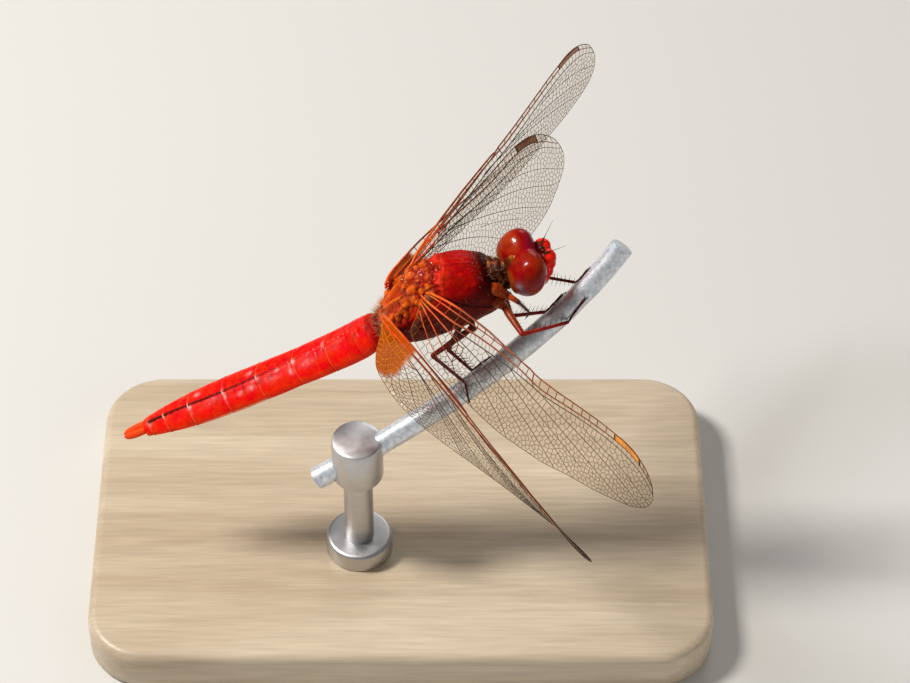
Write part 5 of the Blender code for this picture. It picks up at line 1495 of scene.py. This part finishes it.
def build_legs():
    shades = {
        "leg_fore_left": ((0.40, 0.075, 0.010), (0.17, 0.013, 0.009)),
        "leg_fore_right": ((0.40, 0.055, 0.006), (0.11, 0.016, 0.008)),
        "leg_mid_right": ((0.29, 0.040, 0.006), (0.34, 0.014, 0.009)),
        "leg_mid_left": ((0.34, 0.060, 0.010), (0.30, 0.016, 0.010)),
        "leg_hind_right": ((0.15, 0.010, 0.005), (0.17, 0.009, 0.006)),
        "leg_hind_left": ((0.15, 0.010, 0.005), (0.15, 0.009, 0.006)),
    }
    coxae = {
        "leg_fore_left": (6.15, 0.75, -2.75), "leg_fore_right": (6.20, -1.85, -1.15),
        "leg_mid_right": (5.45, -2.20, -2.50), "leg_mid_left": (5.00, 0.85, -4.30),
        "leg_hind_right": (1.90, -1.60, -3.90), "leg_hind_left": (2.30, 0.75, -4.50),
    }
    for name, row in list(LEGS.items()) + [(TUCKED[0], TUCKED[1:])]:
        femur, tibia = (np.array(c) for c in shades[name])
        if name == TUCKED[0]:
            hip, knee, ankle, tip = (np.array(v) for v in row)
            t = np.linspace(0, 1, 7)[:, None]
            path = ankle + (tip - ankle) * t + np.array((0.15, -0.1, 0)) * (4 * t * (1 - t))
            hook = unit(np.array((-0.5, 0.3, -0.8)))
            rf, rt, sl = 0.30, 0.15, 0.55
        else:
            hip, knee, (t0, a0), (t1, a1) = row
            hip, knee = np.array(hip), np.array(knee)
            f = np.linspace(0, 1, 9)
            # the tarsus curls onto the wire and lies on it
            off = np.interp(f, [0, 0.25, 1], [0.30, 0.12, 0.10])
            path = to_body(wire_side(t0 + (t1 - t0) * f, a0 + (a1 - a0) * f, off))
            hook = None
            rf, rt = (0.30, 0.165) if "fore" in name else ((0.37, 0.19) if "mid" in name else (0.31, 0.18))
            sl = 1.15 if name == "leg_fore_left" else 0.85
        grad = np.stack([femur * 1.15, femur, femur * 0.85, tibia * 1.0])
        tg = np.stack([tibia * 0.9, tibia * 1.1, tibia, tibia * 0.6])
        b, e, tip, way = build_leg(name, hip, knee, path, grad, tg, rf, rt, sl, coxae[name])
        bend_n = unit(np.cross(knee - hip, path[0] - knee))
        inward = unit(np.cross(bend_n, e))
        if np.dot(inward, hip - knee) < 0:
            inward = -inward
        rows = [inward + bend_n * 0.75, inward - bend_n * 0.75]
        spines(b, knee, path[0], rows, 9 if "fore" in name else 8, sl, rt, 1, 0.12, 0.97)
        # small spines under the femur
        inward_f = -unit(np.cross(bend_n, unit(knee - hip)))
        if np.dot(inward_f, path[0] - knee) < 0:
            inward_f = -inward_f
        spines(b, hip, knee, [inward_f + bend_n * 0.6, inward_f - bend_n * 0.6], 9, 0.30, rf, 1, 0.25, 0.95, 0.4)
        # claws: one pair of hooks
        centre = None
        if hook is None:
            near = wire_point(np.array(t1))
            centre = to_body(near)
            hook = unit(centre - tip)
        cross = unit(np.cross(way, hook))
        for s in (1, -1):
            t = np.linspace(0, 1, 9)
            start = tip + cross * s * 0.05
            pts = (start + np.multiply.outer(0.42 * t, way) + np.multiply.outer(0.30 * t * t, hook)
                   + np.multiply.outer(s * 0.14 * t, cross))
            if centre is not None:
                rel = pts - centre
                axis = unit(to_body(wire_point(np.array(t1 + 0.01))) - centre)
                radial = rel - np.multiply.outer(rel @ axis, axis)
                ln = np.linalg.norm(radial, axis=1, keepdims=True)
                need = WIRE_R + 0.04
                pts = pts + unit(radial) * np.maximum(need - ln, 0)
            v, q, caps = tubes(pts[None], np.interp(t, [0, 0.3, 1], [0.055, 0.045, 0.010])[None], 8)
            b.add(v, [q, caps], (0.04, 0.010, 0.008), 1)
        ob = b.build(name + "_limb", BODY, [MAT_LEG, MAT_SPINE])
        ride(ob, "tibia_red", name + "_femur", name + "_tibia", name + "_tarsus")


def build_wire():
    sides, m = 48, 150
    t = np.linspace(0, 1, m)
    p = wire_point(t)
    way = unit(np.gradient(p, axis=0))
    ref = unit(np.cross(way, np.array((0, 1.0, 0))))
    b2 = np.cross(way, ref)
    ang = np.arange(sides) * TAU / sides
    r = np.full(m, WIRE_R)
    ring = np.cos(ang)[None, :, None] * ref[:, None] + np.sin(ang)[None, :, None] * b2[:, None]
    surf = p[:, None] + ring * r[:, None, None]
    bumpy = value_noise(surf.reshape(-1, 3), 1.5, 41) * 0.010 + value_noise(surf.reshape(-1, 3), 4.5, 42) * 0.018
    surf = surf + ring * bumpy.reshape(m, sides, 1)
    ends = []
    for idx, sign in ((0, -1), (m - 1, 1)):
        rings = []
        for rr, dd in ((0.93, 0.03), (0.84, 0.06)):
            rings.append(p[idx] + ring[idx] * (WIRE_R * rr) + way[idx] * sign * dd)
        ends.append(rings)
    rows = np.concatenate([np.stack(ends[0][::-1]), surf, np.stack(ends[1])])
    v = rows.reshape(-1, 3)
    q = grid_faces(len(rows), sides)
    caps = np.stack([np.arange(sides)[::-1], (len(rows) - 1) * sides + np.arange(sides)])
    ob = mesh_object("wire_perch", v * MM, [q, caps], [MAT_WIRE])
    bm = bmesh.new()
    bm.from_mesh(ob.data)
    bmesh.ops.recalc_face_normals(bm, faces=bm.faces)
    bm.to_mesh(ob.data)
    bm.free()
    ob.data.set_sharp_from_angle(angle=math.radians(40))
    ride(ob, "galvanised_wire", "perch_wire")


# ================================================================ stand
def lathe(profile, at, sides=72):
    """Closed solid of revolution about a vertical axis from (r, z) pairs, mm."""
    ang = np.arange(sides) * TAU / sides
    rings = [np.stack([at[0] + r * np.cos(ang), at[1] + r * np.sin(ang), np.full(sides, z)], -1) for r, z in profile]
    v = np.concatenate(rings)
    q = grid_faces(len(rings), sides)
    caps = np.stack([np.arange(sides)[::-1], (len(rings) - 1) * sides + np.arange(sides)])
    return v, [q, caps]


def tidy(ob, angle=35):
    bm = bmesh.new()
    bm.from_mesh(ob.data)
    bmesh.ops.recalc_face_normals(bm, faces=bm.faces)
    bm.to_mesh(ob.data)
    bm.free()
    ob.data.shade_smooth()
    ob.data.set_sharp_from_angle(angle=math.radians(angle))


def build_stand():
    sx, sy, h = BASE_SIZE
    ring = []

    def outline(inset, z):
        r = BASE_CORNER - inset
        pts = []
        for cx, cy, a0 in ((1, 1, 0), (-1, 1, 90), (-1, -1, 180), (1, -1, 270)):
            for k in range(17):
                a = math.radians(a0 + 90 * k / 16)
                pts.append((cx * (sx / 2 - BASE_CORNER) + r * math.cos(a), cy * (sy / 2 - BASE_CORNER) + r * math.sin(a), z))
        return pts

    prof = [(0.45, 0.0), (0.15, 0.12), (0.0, 0.45)]
    rb = 0.9
    prof += [(rb * (1 - math.cos(a)), h - rb + rb * math.sin(a)) for a in np.linspace(0, math.pi / 2, 9)]
    for inset, z in prof:
        ring.append(outline(inset, z))
    v = np.array(ring).reshape(-1, 3)
    n = len(ring[0])
    q = grid_faces(len(ring), n)
    caps = np.stack([np.arange(n)[::-1], (len(ring) - 1) * n + np.arange(n)])
    ob = mesh_object("stand_board", v * MM, [q, caps], [MAT_WOOD])
    tidy(ob, 30)
    ride(ob, "stand_wood", "stand_base")
    held = wire_point(np.array(ROD_AT_T))
    at = (held[0], held[1])
    top = held[2] - CLAMP_H / 2
    ob = mesh_object("stand_post", lathe([(ROD_R, h - 0.5), (ROD_R, top + 0.3)], at)[0] * MM,
                     lathe([(ROD_R, h - 0.5), (ROD_R, top + 0.3)], at)[1], [MAT_STEEL])
    tidy(ob)
    ride(ob, "stand_steel", "stand_rod")
    z0 = h + 0.01
    prof = [(FOOT_R - 0.12, z0), (FOOT_R, z0 + 0.12), (FOOT_R, z0 + FOOT_H - 0.45)]
    prof += [(FOOT_R - 0.45 * (1 - math.cos(a)), z0 + FOOT_H - 0.45 + 0.45 * math.sin(a)) for a in np.linspace(0.2, math.pi / 2, 6)]
    prof += [(ROD_R + 0.02, z0 + FOOT_H)]
    v, polys = lathe(prof, at)
    ob = mesh_object("stand_foot", v * MM, polys, [MAT_STEEL])
    tidy(ob)
    ride(ob, "stand_steel", "stand_collar")
    c = 0.35
    prof = [(CLAMP_R - c, top), (CLAMP_R - 0.1, top + 0.12), (CLAMP_R, top + c), (CLAMP_R, top + CLAMP_H - c),
            (CLAMP_R - 0.1, top + CLAMP_H - 0.12), (CLAMP_R - c, top + CLAMP_H)]
    v, polys = lathe(prof, at)
    ob = mesh_object("stand_grip", v * MM, polys, [MAT_STEEL])
    tidy(ob)
    # bore for the wire
    way = unit(wire_point(np.array(ROD_AT_T + 0.02)) - wire_point(np.array(ROD_AT_T - 0.02)))
    tube = held + np.multiply.outer(np.array([-9.0, 9.0]), way)
    bv, bq, bc = tubes(tube[None], np.full((1, 2), WIRE_R + 0.04), 64)
    cutter = mesh_object("bore_tmp", bv * MM, [bq, bc], [])
    tidy(cutter)
    m = ob.modifiers.new("bore", "BOOLEAN")
    m.operation, m.object, m.solver = "DIFFERENCE", cutter, "EXACT"
    dg = bpy.context.evaluated_depsgraph_get()
    me = bpy.data.meshes.new_from_object(ob.evaluated_get(dg))
    ob.modifiers.clear()
    ob.data = me
    bpy.data.objects.remove(cutter)
    ob.data.set_sharp_from_angle(angle=math.radians(30))
    ride(ob, "stand_steel", "stand_clamp")


# ================================================================ camera, floor, lights
def build_stage():
    elev = math.radians(47.0)
    back = Vector((0, -math.cos(elev), math.sin(elev)))
    up = Vector((0, math.sin(elev), math.cos(elev)))
    right = Vector((1, 0, 0))
    cam = bpy.data.cameras.new("camera")
    cam.sensor_fit = "HORIZONTAL"
    cam.sensor_width = 36.0
    cam.lens = 3090 / 910 * 36.0
    cam.shift_x = 24.74 / 910
    cam.shift_y = -47.55 / 910
    cam.clip_start, cam.clip_end = 0.01, 10.0
    ob = bpy.data.objects.new("camera", cam)
    ob.matrix_world = Matrix.Translation(Vector(BODY_AT) * MM + back * 0.300) @ Matrix(
        (right, up, back)).transposed().to_4x4()
    bpy.context.scene.collection.objects.link(ob)
    bpy.context.scene.camera = ob
    # floor
    me = bpy.data.meshes.new("floor")
    s = 4.0
    me.from_pydata([(-s, -s, 0), (s, -s, 0), (s, s, 0), (-s, s, 0)], [], [(0, 1, 2, 3)])
    mat, nt, b = new_material("floor")
    b.inputs["Base Color"].default_value = (0.70, 0.69, 0.67, 1)
    b.inputs["Roughness"].default_value = 0.8
    me.materials.append(mat)
    floor = bpy.data.objects.new("floor", me)
    floor.location.z = -0.00002
    bpy.context.scene.collection.objects.link(floor)
    world = bpy.data.worlds.new("studio")
    world.use_nodes = True
    world.node_tree.nodes["Background"].inputs["Color"].default_value = (1.0, 0.98, 0.95, 1)
    world.node_tree.nodes["Background"].inputs["Strength"].default_value = 0.15
    bpy.context.scene.world = world
    bpy.context.scene.view_settings.view_transform = "Standard"
    bpy.context.scene.view_settings.look = "None"

    def lamp(name, way, dist, size, power, colour=(1, 1, 1), size_y=None):
        li = bpy.data.lights.new(name, "AREA")
        li.shape = "RECTANGLE"
        li.size, li.size_y = size, size_y or size
        li.energy, li.color = power, colour
        o = bpy.data.objects.new(name, li)
        way = Vector(way).normalized()
        o.location = Vector(BODY_AT) * MM + way * dist
        o.rotation_mode = "QUATERNION"
        o.rotation_quaternion = way.to_track_quat("Z", "Y")
        bpy.context.scene.collection.objects.link(o)
        return o

    lamp("key", (-0.62, 0.05, 0.78), 0.50, 0.09, 2.9, (1.0, 0.97, 0.92), 0.12)
    lamp("fill", (0.75, -0.55, 0.55), 0.60, 0.45, 0.62, (1.0, 0.98, 0.96)).visible_glossy = False
    lamp("back", (0.2, 0.85, 0.45), 0.60, 0.30, 0.7, (1.0, 0.98, 0.96))


build_stage()
pts, rows, around = build_skin()
build_down(pts, rows, around)
build_head()
build_neck()
build_tail()
build_wings()
build_legs()
build_wire()
build_stand()
